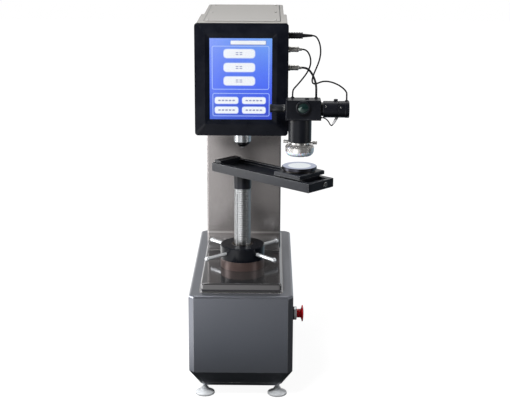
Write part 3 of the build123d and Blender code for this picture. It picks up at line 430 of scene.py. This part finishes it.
def lens_finish():
    """Dark coated lens."""
    coat = {"Coat Weight": 1.0, "Coat Roughness": 0.02, "Coat Tint": (0.75, 1, 0.88, 1)}
    lens = Finish("coated lens", {"IOR": 1.7, **coat})
    film = lens.noise(18, 2)
    return lens.varies(
        Base_Color=lens.mix(film, (0.002, 0.010, 0.008, 1), (0.006, 0.016, 0.020, 1)),
        Roughness=0.03 + (film - 0.5) * 0.02,
    )


def frosted_finish():
    """Frosted ring lit by the room through its own body."""
    body = {"Subsurface Weight": 0.35, "Subsurface Scale": 0.004}
    frost = Finish("frosted ring", {**body, "Coat Weight": 0.5})
    grain = frost.noise(1400, 2)
    cloud = frost.noise(40, 2)
    return frost.varies(
        Base_Color=frost.mix(cloud, (0.52, 0.58, 0.66, 1), (0.70, 0.76, 0.84, 1)),
        Roughness=0.30 + (grain - 0.5) * 0.10,
        Normal=frost.bump(grain, 0.01 * MM, 0.4),
    )


def glass_finish():
    """Clear front glass with faint smears."""
    clear = {"Transmission Weight": 1.0, "IOR": 1.45, "Base Color": (0.96, 0.98, 1, 1)}
    glass = Finish("touch glass", clear)
    smears = glass.noise(14, 4, roughness=0.7)
    return glass.varies(Roughness=0.015 + smears.clamped(0.5, 0.9) * 0.03)


PANEL_LEFT = -79.5
PANEL_WIDTH = 154.5
PANEL_FOOT = 721.0
PANEL_HEIGHT = 202.0


def display_finish():
    """Lit blue wash, paler towards the top right corner, on the side that faces the operator."""
    unlit = {"Base Color": (0.004, 0.006, 0.02, 1), "Roughness": 0.4}
    wash = Finish("display wash", {**unlit, "Emission Strength": 1.0})
    across, _, up = wash.split(wash.place())
    left_to_right = (across - PANEL_LEFT * MM) / (PANEL_WIDTH * MM)
    foot_to_top = (up - PANEL_FOOT * MM) / (PANEL_HEIGHT * MM)
    pale = wash.mix(left_to_right, (0.17, 0.29, 0.90, 1), (0.20, 0.42, 0.95, 1))
    deep = wash.mix(left_to_right, (0.085, 0.17, 0.92, 1), (0.040, 0.090, 0.92, 1))
    lowest = wash.mix(left_to_right, (0.062, 0.14, 0.72, 1), (0.028, 0.060, 0.62, 1))
    deep = wash.mix(foot_to_top.clamped(0.0, 0.45), lowest, deep)
    shown = wash.mix(foot_to_top * foot_to_top, deep, pale)
    facing = wash.split(wash.node("NewGeometry", output="Normal"))[1]
    return wash.varies(Emission_Color=wash.mix(facing.clamped(-0.9, -0.5), shown, grey(0.0)))


def lit(name, colour):
    """Flat lit part of the display."""
    unlit = {"Base Color": (0.02, 0.02, 0.03, 1), "Roughness": 0.4}
    glow = Finish(name, {**unlit, "Emission Strength": 1.0})
    pixels = glow.noise(3000, 1)
    darker = tuple(channel * 0.93 for channel in colour[:3]) + (1,)
    return glow.varies(Emission_Color=glow.mix(pixels, darker, colour))


anvil_steel = anvil_finish()
plated_collar = collar_finish()
dial_black = dial_finish()
coated_lens = lens_finish()
frosted = frosted_finish()
touch_glass = glass_finish()
display_wash = display_finish()
lit_white = lit("lit white", (0.97, 0.98, 1.0, 1))
lit_rim = lit("lit rim", (0.50, 0.60, 0.98, 1))
lit_frame = lit("lit frame", (0.46, 0.60, 1.0, 1))
lit_mark = lit("lit mark", (0.30, 0.33, 0.56, 1))

FINISH_OF_NODES = (
    (base_paint, ["base_housing", "base_plate"]),
    (plinth_paint, ["plinth_plate"]),
    (column_paint, ["column"]),
    (head_paint, ["head_shell", "top_cover", "rear_cover"]),
    (bezel_black, ["screen_bezel"]),
    (touch_glass, ["touch_glass"]),
    (hub_black, ["handwheel_hub"]),
    (chrome, ["handwheel_spokes"]),
    (bronze, ["lifting_nut", "screw_guide"]),
    (ring_copper, ["bearing_ring"]),
    (blacked_steel, ["stage_neck", "stage_rail", "rail_end_stop", "carriage"]),
    (seat_bronze, ["anvil_seat"]),
    (anvil_steel, ["anvil_disc"]),
    (sleeve_steel, ["spindle_guide", "spindle", "load_cell", "drive_screw", "estop_stem"]),
    (zinc, ["indenter_ball", "press_frame"]),
    (zinc, ["front_left_foot", "front_right_foot", "rear_left_foot", "rear_right_foot"]),
    (plastic_black, ["drive_motor", "black_plug", "power_inlet"]),
    (plated_collar, ["estop_collar"]),
    (hub_black, ["rocker_switch"]),
    (anodised, ["indenter_nut", "microscope_arm", "microscope_tube"]),
    (anodised, ["optics_box", "eyepiece_ring", "camera_barrel"]),
    (coated_lens, ["eyepiece_glass"]),
    (warm_silver, ["objective", "ring_light_body"]),
    (frosted, ["ring_light_diffuser"]),
    (nickel, ["panel_sockets"]),
    (grey_sleeve, ["camera_gland"]),
    (button_red, ["estop_button"]),
)
for finish, names in FINISH_OF_NODES:
    for name in names:
        nodes[name].data.materials.clear()
        nodes[name].data.materials.append(finish.material)


# ------------------------------------------------------------------ meshes
def aimed(place, direction):
    """Frame at a place in millimetres whose +Z points along a direction."""
    turn = Vector(direction).to_track_quat("Z", "Y").to_matrix().to_4x4()
    return Matrix.Translation(Vector(place) * MM) @ turn


def piece(name, points, faces, finish, body, replaces=(), sharp=32):
    """New mesh piece, in metres, that rides on a body."""
    mesh = bpy.data.meshes.new(name)
    mesh.from_pydata([tuple(point) for point in points], [], faces)
    work = bmesh.new()
    work.from_mesh(mesh)
    bmesh.ops.remove_doubles(work, verts=work.verts, dist=1e-6)
    bmesh.ops.recalc_face_normals(work, faces=work.faces)
    work.to_mesh(mesh)
    work.free()
    mesh.shade_smooth()
    mesh.set_sharp_from_angle(angle=math.radians(sharp))
    mesh.materials.append(finish.material)
    thing = bpy.data.objects.new(name, mesh)
    bpy.context.scene.collection.objects.link(thing)
    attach(thing, body)
    if replaces:
        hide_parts(*replaces)
    return thing


def round_section(radius, angle):
    return radius


def hexagon_section(radius, angle):
    """Distance to the side of a hexagon whose flats lie at that radius."""
    away = (angle % (math.pi / 3)) - math.pi / 6
    return radius / math.cos(away)


def turned_rows(rows, columns, where):
    """Points and faces turned about Z.

    Each row is a radius and a height, in millimetres, and the section that its radius follows.
    """
    points = []
    for radius, height, section in rows:
        for column in range(columns):
            angle = 2 * math.pi * column / columns
            reach = section(radius, angle) if radius else 0
            place = Vector((reach * math.cos(angle), reach * math.sin(angle), height))
            points.append(where @ (place * MM))
    faces = []
    for row in range(len(rows) - 1):
        for column in range(columns):
            after = (column + 1) % columns
            corners = [row * columns + column, row * columns + after]
            faces.append(corners + [corner + columns for corner in reversed(corners)])
    return points, faces


def knurled(outline, bands, pitch, depth, teeth):
    """Rows of an outline with diamond knurling between the heights of each band."""
    def section_at(height):
        def section(radius, angle):
            slant = math.pi * height / pitch
            left = abs(math.sin(teeth * angle / 2 + slant))
            right = abs(math.sin(teeth * angle / 2 - slant))
            return radius - depth * (1 - min(left, right))
        return section

    rows = []
    for (radius, low), (after, high) in zip(outline, outline[1:] + [outline[-1]]):
        rows.append((radius, low, round_section))
        for foot, top in bands:
            if radius == after and low <= foot and high >= top:
                steps = max(4, round((top - foot) / pitch * 6))
                for step in range(steps + 1):
                    height = foot + (top - foot) * step / steps
                    rows.append((radius, height, section_at(height)))
    return rows


def socket_screw(name, place, direction, radius, height, sunk, body="frame"):
    """Socket head screw seated at a place, its head along a direction."""
    key = radius * 0.52
    edge = radius * 0.14
    rows = [
        (0, -sunk, round_section), (radius, -sunk, round_section),
        (radius, height - edge, round_section), (radius - edge, height, round_section),
        (key * 1.18, height, round_section),
        (key, height - edge * 0.6, hexagon_section), (key, height * 0.35, hexagon_section),
        (0, height * 0.35, round_section),
    ]
    points, faces = turned_rows(rows, 36, aimed(place, direction))
    piece(name, points, faces, bright_screw, body)


def turned_piece(name, outline, place, direction, finish):
    """Black piece turned from an outline of radii and heights, in millimetres."""
    rows = [(radius, height, round_section) for radius, height in outline]
    points, faces = turned_rows(rows, 48, aimed(place, direction))
    piece(name, points, faces, finish, "frame")


# ------------------------------------------------------------------ elevating screw
SCREW_FOOT = 193.0
SCREW_TOP = 521.0
SCREW_CREST = 21.95
SCREW_ROOT = 19.4
SCREW_LEAD = 5.0
KEYWAY_ANGLE = 236.0
KEYWAY_HALF = 3.0
KEYWAY_FLOOR = 18.5
THREAD_COLUMNS = 44
THREAD = ((0.0, SCREW_ROOT), (0.34, SCREW_ROOT), (0.50, SCREW_CREST), (0.84, SCREW_CREST))
KEYWAY_WALL = math.degrees(math.asin(KEYWAY_HALF / SCREW_CREST))
KEYWAY_CORNER = KEYWAY_WALL - 0.4


def thread_angles():
    """Angles round the screw, measured from the keyway, with two columns at each of its walls."""
    keyway = [-KEYWAY_WALL, -KEYWAY_CORNER, 0.0, KEYWAY_CORNER, KEYWAY_WALL]
    rest = 360 - 2 * KEYWAY_WALL
    plain = [KEYWAY_WALL + rest * step / THREAD_COLUMNS for step in range(1, THREAD_COLUMNS)]
    return keyway + plain + [360 - KEYWAY_WALL]


def thread_place(angle, radius):
    """Place on the thread, along the keyway's middle line and across it; its walls are parallel."""
    from_keyway = (angle + 180) % 360 - 180
    side = math.copysign(KEYWAY_HALF, from_keyway)
    if abs(from_keyway) < KEYWAY_WALL - 0.1:
        return KEYWAY_FLOOR, side if angle else 0.0
    if abs(from_keyway) < KEYWAY_WALL + 0.1:
        return math.sqrt(radius ** 2 - KEYWAY_HALF ** 2), side
    return radius * math.cos(math.radians(angle)), radius * math.sin(math.radians(angle))


def elevating_thread():
    """Trapezoidal thread with its keyway, cut square at both ends."""
    turns = round((SCREW_TOP - SCREW_FOOT) / SCREW_LEAD) + 3
    start = SCREW_FOOT - 2 * SCREW_LEAD
    keyway_turn = Matrix.Rotation(math.radians(KEYWAY_ANGLE), 3, "Z")
    angles = thread_angles()
    points = []
    for turn in range(turns):
        for share, radius in THREAD:
            for angle in angles:
                height = start + SCREW_LEAD * (turn + share + angle / 360)
                points.append(keyway_turn @ Vector((*thread_place(angle, radius), height)) * MM)
    columns = len(angles)
    rows = turns * len(THREAD)
    faces = []
    for row in range(rows - 1):
        for column in range(columns - 1):
            corner = row * columns + column
            faces.append((corner, corner + 1, corner + columns + 1, corner + columns))
    work = bmesh.new()
    made = [work.verts.new(point) for point in points]
    for face in faces:
        work.faces.new([made[corner] for corner in face])
    bmesh.ops.remove_doubles(work, verts=work.verts, dist=2e-6)
    for height, side in ((SCREW_FOOT, -1), (SCREW_TOP, 1)):
        everything = list(work.verts) + list(work.edges) + list(work.faces)
        bmesh.ops.bisect_plane(
            work, geom=everything, plane_co=(0, 0, height * MM), plane_no=(0, 0, side), clear_outer=True
        )
        rim = [
            edge for edge in work.edges
            if edge.is_boundary and all(abs(end.co.z - height * MM) < 1e-6 for end in edge.verts)
        ]
        bmesh.ops.triangle_fill(work, edges=rim, use_beauty=True)
    bmesh.ops.recalc_face_normals(work, faces=work.faces)
    mesh = bpy.data.meshes.new("elevating_thread")
    work.to_mesh(mesh)
    work.free()
    mesh.shade_smooth()
    mesh.set_sharp_from_angle(angle=math.radians(28))
    mesh.materials.append(screw_steel.material)
    thread = bpy.data.objects.new("elevating_thread", mesh)
    bpy.context.scene.collection.objects.link(thread)
    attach(thread, "screw")
    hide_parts("elevating_screw")


elevating_thread()

# ------------------------------------------------------------------ display
DISPLAY_FRONT = -92.2
DISPLAY_BACK = -80.8
LAYER = 0.14


def slab_outline(width, height, corner):
    """Points round a rounded rectangle centred on the origin."""
    steps = 6
    points = []
    for quarter, (side, rise) in enumerate(((1, 1), (-1, 1), (-1, -1), (1, -1))):
        for step in range(steps + 1):
            angle = math.pi / 2 * (quarter + step / steps)
            points.append((
                side * (width / 2 - corner) + corner * math.cos(angle),
                rise * (height / 2 - corner) + corner * math.sin(angle),
            ))
    return points


def slab(name, across, up, width, height, corner, front, back, finish, inner=0.0, slot="display"):
    """Rounded plate that faces the operator; with an inner width it is an open frame."""
    outer = slab_outline(width, height, corner)
    count = len(outer)
    rings = [(outer, back), (outer, front)]
    if inner:
        hole = slab_outline(width - 2 * inner, height - 2 * inner, max(corner - inner, 0.2))
        rings += [(hole, front), (hole, back)]
    points = [Vector((across + x, depth, up + z)) * MM for ring, depth in rings for x, z in ring]
    faces = []
    pairs = [(0, 1), (1, 2), (2, 3), (3, 0)] if inner else [(0, 1)]
    for first, second in pairs:
        for index in range(count):
            after = (index + 1) % count
            start, end = first * count, second * count
            faces.append((start + index, start + after, end + after, end + index))
    if not inner:
        faces += [tuple(range(count)), tuple(range(count, 2 * count))]
    return piece(name, points, faces, finish, "frame")


def layer(number):
    """Front and back of a layer of the display, counted from its wash towards the glass."""
    return DISPLAY_FRONT - LAYER * (number + 1), DISPLAY_FRONT - LAYER * number


def build_display():
    low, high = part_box("display_panel")
    middle = (low + high) / 2 / MM
    size = (high - low) / MM
    wash = slab(
        "display_module", middle.x, middle.z, size.x, size.z, 1.0,
        DISPLAY_FRONT, DISPLAY_BACK, display_wash,
    )
    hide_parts("display_panel")
    slab("title_bar_rim", 16.5, 911.6, 88.0, 11.0, 1.5, *layer(0), lit_mark)
    slab("title_bar", 15.8, 912.2, 86.4, 9.0, 1.2, *layer(1), lit_white)
    slab("upper_frame", -3.0, 849.7, 142.0, 108.6, 5.0, *layer(0), lit_frame, inner=1.7)
    slab("lower_frame", -1.7, 757.4, 142.0, 58.4, 5.0, *layer(0), lit_frame, inner=1.7)
    for number, up in enumerate((884.9, 850.6, 817.0), 1):
        slab(f"wide_key_rim_{number}", -6.0, up, 79.6, 24.0, 8.5, *layer(0), lit_rim)
        slab(f"wide_key_{number}", -6.0, up, 77.0, 21.6, 7.6, *layer(1), lit_white)
        for mark, across in enumerate((-11.5, -2.0), 1):
            for bar, lift in enumerate((-2.4, 2.4), 1):
                name = f"wide_key_mark_{number}_{mark}_{bar}"
                slab(name, across, up + lift, 7.0, 2.0, 0.8, *layer(2), lit_mark)
    for row, up in enumerate((768.1, 743.8), 1):
        for column, across in enumerate((-37.8, 30.3), 1):
            tag = f"{row}_{column}"
            slab(f"small_key_rim_{tag}", across, up, 60.0, 18.6, 6.0, *layer(0), lit_rim)
            slab(f"small_key_{tag}", across, up, 57.6, 16.4, 5.2, *layer(1), lit_white)
            for mark in range(5):
                name = f"small_key_mark_{tag}_{mark + 1}"
                slab(name, across + (mark - 2) * 8.8, up, 6.0, 3.4, 0.8, *layer(2), lit_mark)


build_display()

# ------------------------------------------------------------------ screws on the casings
LID_TOP = 962.5
COVER_BACK = 386.6
INLET_BACK = 416.6


def casing_screws():
    for row, depth in enumerate((-54.0, 141.6, 337.0), 1):
        for side, across in (("left", -84.0), ("right", 84.0)):
            place = (across, depth, LID_TOP)
            socket_screw(f"lid_screw_{side}_{row}", place, (0, 0, 1), 3.4, 1.9, 0.3)
    for side, across in (("left", -72.0), ("right", 72.0)):
        for level, up in (("low", 728.5), ("high", 912.5)):
            place = (across, COVER_BACK, up)
            socket_screw(f"rear_cover_screw_{side}_{level}", place, (0, 1, 0), 3.2, 1.8, 0.3)
    for side, across in (("left", -87.0), ("right", -63.0)):
        socket_screw(f"inlet_screw_{side}", (across, INLET_BACK, 126.0), (0, 1, 0), 1.9, 1.2, 0.2)


casing_screws()
# black strips along the lid's sides: painted shade standing in for the shadow gap at its edges
for side, edge in (("left", -95.0), ("right", 95.0)):
    slab(f"lid_shadow_strip_{side}", edge, 960.95, 2.0, 1.1, 0.2, -54.0, 366.0, jacket, slot="matte_black")

# ------------------------------------------------------------------ slide, microscope and connectors
SLIDE_ANGLE = math.radians(43)
SLIDE = Vector((math.cos(SLIDE_ANGLE), -math.sin(SLIDE_ANGLE), 0))
ACROSS_SLIDE = Vector((math.sin(SLIDE_ANGLE), math.cos(SLIDE_ANGLE), 0))
SLIDE_NOSE = 269.6
SCOPE_AXIS = SLIDE * 198.0


def on_rail(along, across, height):
    """Place on the slide, measured from the load axis."""
    place = SLIDE * along + ACROSS_SLIDE * across
    return (place.x, place.y, height)


socket_screw("nose_screw", on_rail(SLIDE_NOSE, 14.0, 574.0), SLIDE, 6.5, 4.0, 0.3, "screw")


def thumbscrew(name, node, body, angle):
    """Knurled clamping screw that points outwards at an angle round the microscope's axis."""
    radial = Vector((math.cos(math.radians(angle)), math.sin(math.radians(angle)), 0))
    outline = [(0, 17.3), (2.0, 17.3), (2.0, 31.5), (3.6, 31.5), (4.2, 32.1), (4.2, 41.8), (3.6, 42.4),
               (3.6, 43.0), (0, 43.0)]
    rows = knurled(outline, [(32.6, 41.3)], 1.6, 0.35, 24)
    start = (SCOPE_AXIS.x, SCOPE_AXIS.y, 670.7)
    points, faces = turned_rows(rows, 96, aimed(start, radial))
    piece(name, points, faces, nickel, body, [node], sharp=50)


thumbscrew("left_clamp_screw", "left_thumbscrew", "left_screw", 157)
thumbscrew("right_clamp_screw", "right_thumbscrew", "right_screw", 0)


PLUG_ROOT = 116.0
SOCKET_DEPTH = -60.0


def silver_connector(name, node, height):
    """Metal plug with a knurled coupling nut, a grooved body and a cable clamp."""
    outline = [(0, 0), (7.7, 0), (8.1, 0.4), (8.1, 4.6), (7.7, 5.0), (6.4, 5.0), (6.4, 6.2),
               (7.0, 6.6), (7.0, 13.0), (6.5, 13.4), (6.5, 14.4), (7.0, 14.8), (7.0, 24.4),
               (6.4, 25.0), (4.6, 25.3), (3.9, 26.0), (3.9, 33.0), (0, 33.0)]
    rows = knurled(outline, [(0.6, 4.4), (15.4, 20.4)], 1.5, 0.3, 40)
    points, faces = turned_rows(rows, 120, aimed((PLUG_ROOT, SOCKET_DEPTH, height), (1, 0, 0)))
    return piece(name, points, faces, nickel, "frame", [node], sharp=50)


upper_connector = silver_connector("upper_connector", "upper_silver_plug", 892.0)
lower_connector = silver_connector("lower_connector", "lower_silver_plug", 846.2)

# ------------------------------------------------------------------ measuring eyepiece and camera
BOX_TOP = 781.0
BOX_RIGHT = 195.0
CAMERA_HEIGHT = 756.0


def measuring_dial():
    """Thimble with graduations round its edge, and a knurled cap on its outer end."""
    outline = [(0, -6.5), (6.0, -6.5), (6.0, 1.0), (9.1, 1.0), (9.6, 1.5), (9.6, 30.8), (9.2, 31.4),
               (9.2, 32.2), (10.1, 32.6), (10.5, 33.0), (10.5, 38.7), (9.7, 39.5), (4.0, 39.5),
               (3.6, 39.1), (0, 39.1)]
    rows = knurled(outline, [(33.4, 38.4)], 1.5, 0.35, 44)
    points, faces = turned_rows(rows, 132, aimed((DRUM_END + 1.0, SIDE_AXIS, DRUM_HEIGHT), (-1, 0, 0)))
    replaced = ["measuring_drum"]
    piece("measuring_dial", points, faces, dial_black, "drum", replaced, sharp=50)


measuring_dial()
turned_piece(
    "splitter_knob", [(0, -0.3), (5.2, -0.3), (5.2, 1.4), (4.4, 2.3), (2.0, 2.8), (0, 2.9)],
    (161.0, SIDE_AXIS, BOX_TOP), (0, 0, 1), anodised,
)
for name, place in (
    ("upper_lead_grommet", (126.0, -121.0, BOX_TOP)),
    ("lower_lead_grommet", (184.0, -124.0, BOX_TOP)),
):
    turned_piece(
        name, [(0, -0.3), (4.6, -0.3), (4.6, 0.9), (3.9, 1.7), (3.2, 2.0), (0, 2.0)],
        place, (0, 0, 1), plastic_black,
    )
turned_piece(
    "black_lead_grommet", [(0, -2.0), (4.4, -2.0), (4.4, 0.8), (3.4, 1.8), (0, 1.8)],
    (258.0, SIDE_AXIS, CAMERA_HEIGHT + 20.9), (0, 0, 1), plastic_black,
)
turned_piece(
    "camera_lead_grommet", [(0, -0.3), (3.6, -0.3), (3.6, 1.0), (2.6, 1.9), (0, 1.9)],
    (BOX_RIGHT, -154.0, 737.5), (1, 0, 0), plastic_black,
)
for name, across, angle in (("camera_lock_screw", 48.8, -68.0), ("camera_focus_screw", 12.0, -62.0)):
    out = Vector((0, math.sin(math.radians(angle)), math.cos(math.radians(angle))))
    place = Vector((BOX_RIGHT + across, SIDE_AXIS, CAMERA_HEIGHT)) + out * 20.2
    socket_screw(name, place, out, 2.0, 0.9, 0.5)
for row, up in enumerate((695.5, 712.5), 1):
    for side, depth in (("front", -68.0), ("back", -22.0)):
        socket_screw(f"arm_screw_{side}_{row}", (130.0, depth, up), (1, 0, 0), 4.5, 3.0, 0.3)

# ------------------------------------------------------------------ leads
# node, route, diameter and length in metres, and the piece at its fixed end
LEADS = (
    ("black_lead", BLACK_LEAD, 0.004, 0.262, nodes["black_plug"]),
    ("upper_lead", UPPER_LEAD, 0.004, 0.176, upper_connector),
    ("lower_lead", LOWER_LEAD, 0.0055, 0.1125, lower_connector),
    ("camera_lead", CAMERA_LEAD, 0.003, 0.0478, nodes["camera_gland"]),
)
for node, route, diameter, length, end in LEADS:
    line = lead_line(f"{node}_line", route, diameter)
    line.data.materials.append(jacket.material)
    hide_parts(node)

# ------------------------------------------------------------------ floor, room and lamps
FLOOR_REACH = 9.0
FLOOR_LEVEL = -0.0003   # just under the feet


class Graph(Finish):
    """The node tree of a material or of the world, emptied."""

    def __init__(self, tree):
        self.tree = tree
        tree.nodes.clear()

    def rays(self):
        """1 on the camera's rays, on mirrored ones and on those through glass, each in turn."""
        kinds = ("Camera", "Glossy", "Transmission")
        return [self.node("LightPath", output=f"Is {kind} Ray") for kind in kinds]


def pale_floor():
    """White to the camera, with the object's shadow; metal mirrors it brighter or darker by place."""
    mesh = bpy.data.meshes.new("floor")
    corners = ((-1, -1), (1, -1), (1, 1), (-1, 1))
    points = [(x * FLOOR_REACH, y * FLOOR_REACH, FLOOR_LEVEL) for x, y in corners]
    mesh.from_pydata(points, [], [(0, 1, 2, 3)])
    floor = bpy.data.objects.new("floor", mesh)
    bpy.context.scene.collection.objects.link(floor)
    material = bpy.data.materials.new("pale floor")
    material.use_nodes = True
    mesh.materials.append(material)
    graph = Graph(material.node_tree)
    across, depth, _ = graph.split(graph.place())
    ahead = (0.0 - depth).clamped(0.30, 1.0) - (0.0 - depth).clamped(2.4, 3.8)
    beside = (0.0 - across).clamped(0.15, 0.65) - (0.0 - across).clamped(0.9, 1.6)
    slope = (across - 0.7).clamped(0.0, -1.4) * 0.74 + 0.14
    level = ahead * slope + depth.clamped(0.0, 0.9) * 0.45 + beside * 1.9
    plain = graph.node("BsdfDiffuse", None, {"Color": grey(0.07)}, "BSDF")
    near = (0.0 - depth).clamped(0.35, 0.95) + (0.0 - across).clamped(0.15, 0.4)
    tint = graph.mix(near, (0.74, 0.97, 1.14, 1), grey(1.0))
    mirrored = graph.node("Emission", None, {"Color": tint, "Strength": level + 0.01}, "Emission")
    shadowed = graph.node("BsdfDiffuse", None, {"Color": grey(0.12)}, "BSDF")
    away = graph.node("VectorMath", {"operation": "LENGTH"}, {0: graph.place()}, "Value")
    white = away.clamped(0.9, 3.5) * 0.08 + 0.93
    glow = graph.node("Emission", None, {"Color": grey(1.0), "Strength": white}, "Emission")
    lit_floor = graph.node("AddShader", None, {0: shadowed, 1: glow}, "Shader")
    camera, mirror, through = graph.rays()
    seen = (camera + mirror + through).clamped(0.0, 1.0)
    pale = graph.node("MixShader", None, {0: camera, 1: mirrored, 2: lit_floor}, "Shader")
    shown = graph.node("MixShader", None, {0: seen, 1: plain, 2: pale}, "Shader")
    graph.node("OutputMaterial", None, {"Surface": shown})


def pale_room():
    """White behind the object and dim on the operator's side; the camera sees white all round."""
    world = bpy.data.worlds.new("room")
    bpy.context.scene.world = world
    world.use_nodes = True
    graph = Graph(world.node_tree)
    across, depth, up = graph.split(graph.node("TexCoord", output="Generated"))
    behind = depth.clamped(-0.1, 0.6)
    overhead = up.clamped(0.1, 0.9)
    leftward = (across * -1).clamped(-0.3, 0.9)
    rightward = across.clamped(0.5, 0.9)
    low = 1 - up.clamped(0.23, 0.34) * 0.8
    ceiling = (up * 0.94 + depth * 0.34).clamped(0.90, 0.98)
    diffuse = behind * 0.25 + overhead * 0.06 + leftward * 0.25 + rightward * 0.10 + 0.09
    mirrored = behind * low * 0.78 + leftward * 0.22 + rightward * 0.07 + ceiling * 1.5 + 0.05
    camera, mirror, through = graph.rays()
    seen = (mirror + through).clamped(0.0, 1.0)
    level = (diffuse * (1 - seen) + mirrored * seen) * (1 - camera) + camera
    shown = graph.node("Background", None, {"Color": grey(1.0), "Strength": level}, "Background")
    graph.node("OutputWorld", None, {"Surface": shown})


def softbox(name, place, target, width, height, power, mirrored=True):
    """Area lamp aimed at a target; one that isn't mirrored lights surfaces without showing in them."""
    data = bpy.data.lights.new(name, "AREA")
    data.shape = "RECTANGLE"
    data.size = width
    data.size_y = height
    data.energy = power
    lamp = bpy.data.objects.new(name, data)
    aim = Vector(target) - Vector(place)
    lamp.matrix_world = Matrix.Translation(place) @ aim.to_track_quat("-Z", "Y").to_matrix().to_4x4()
    lamp.visible_glossy = mirrored
    bpy.context.scene.collection.objects.link(lamp)


pale_floor()
pale_room()
softbox("front_fill", (-0.8, -1.5, 2.2), (0, -0.1, 0.3), 0.7, 0.7, 90, mirrored=False)
softbox("left_softbox", (-1.7, -0.1, 0.80), (0, 0, 0.55), 0.8, 1.3, 26)
softbox("glint", (-0.55, -2.3, 1.70), (0.15, -0.2, 0.75), 0.10, 0.16, 1.6)
softbox("right_softbox", (2.2, -0.9, 0.9), (0, 0, 0.5), 0.4, 1.2, 9)
softbox("top_softbox", (-0.1, 0.9, 2.1), (0, 0.1, 0.96), 1.4, 0.9, 12)
bpy.context.scene.view_settings.view_transform = "Standard"
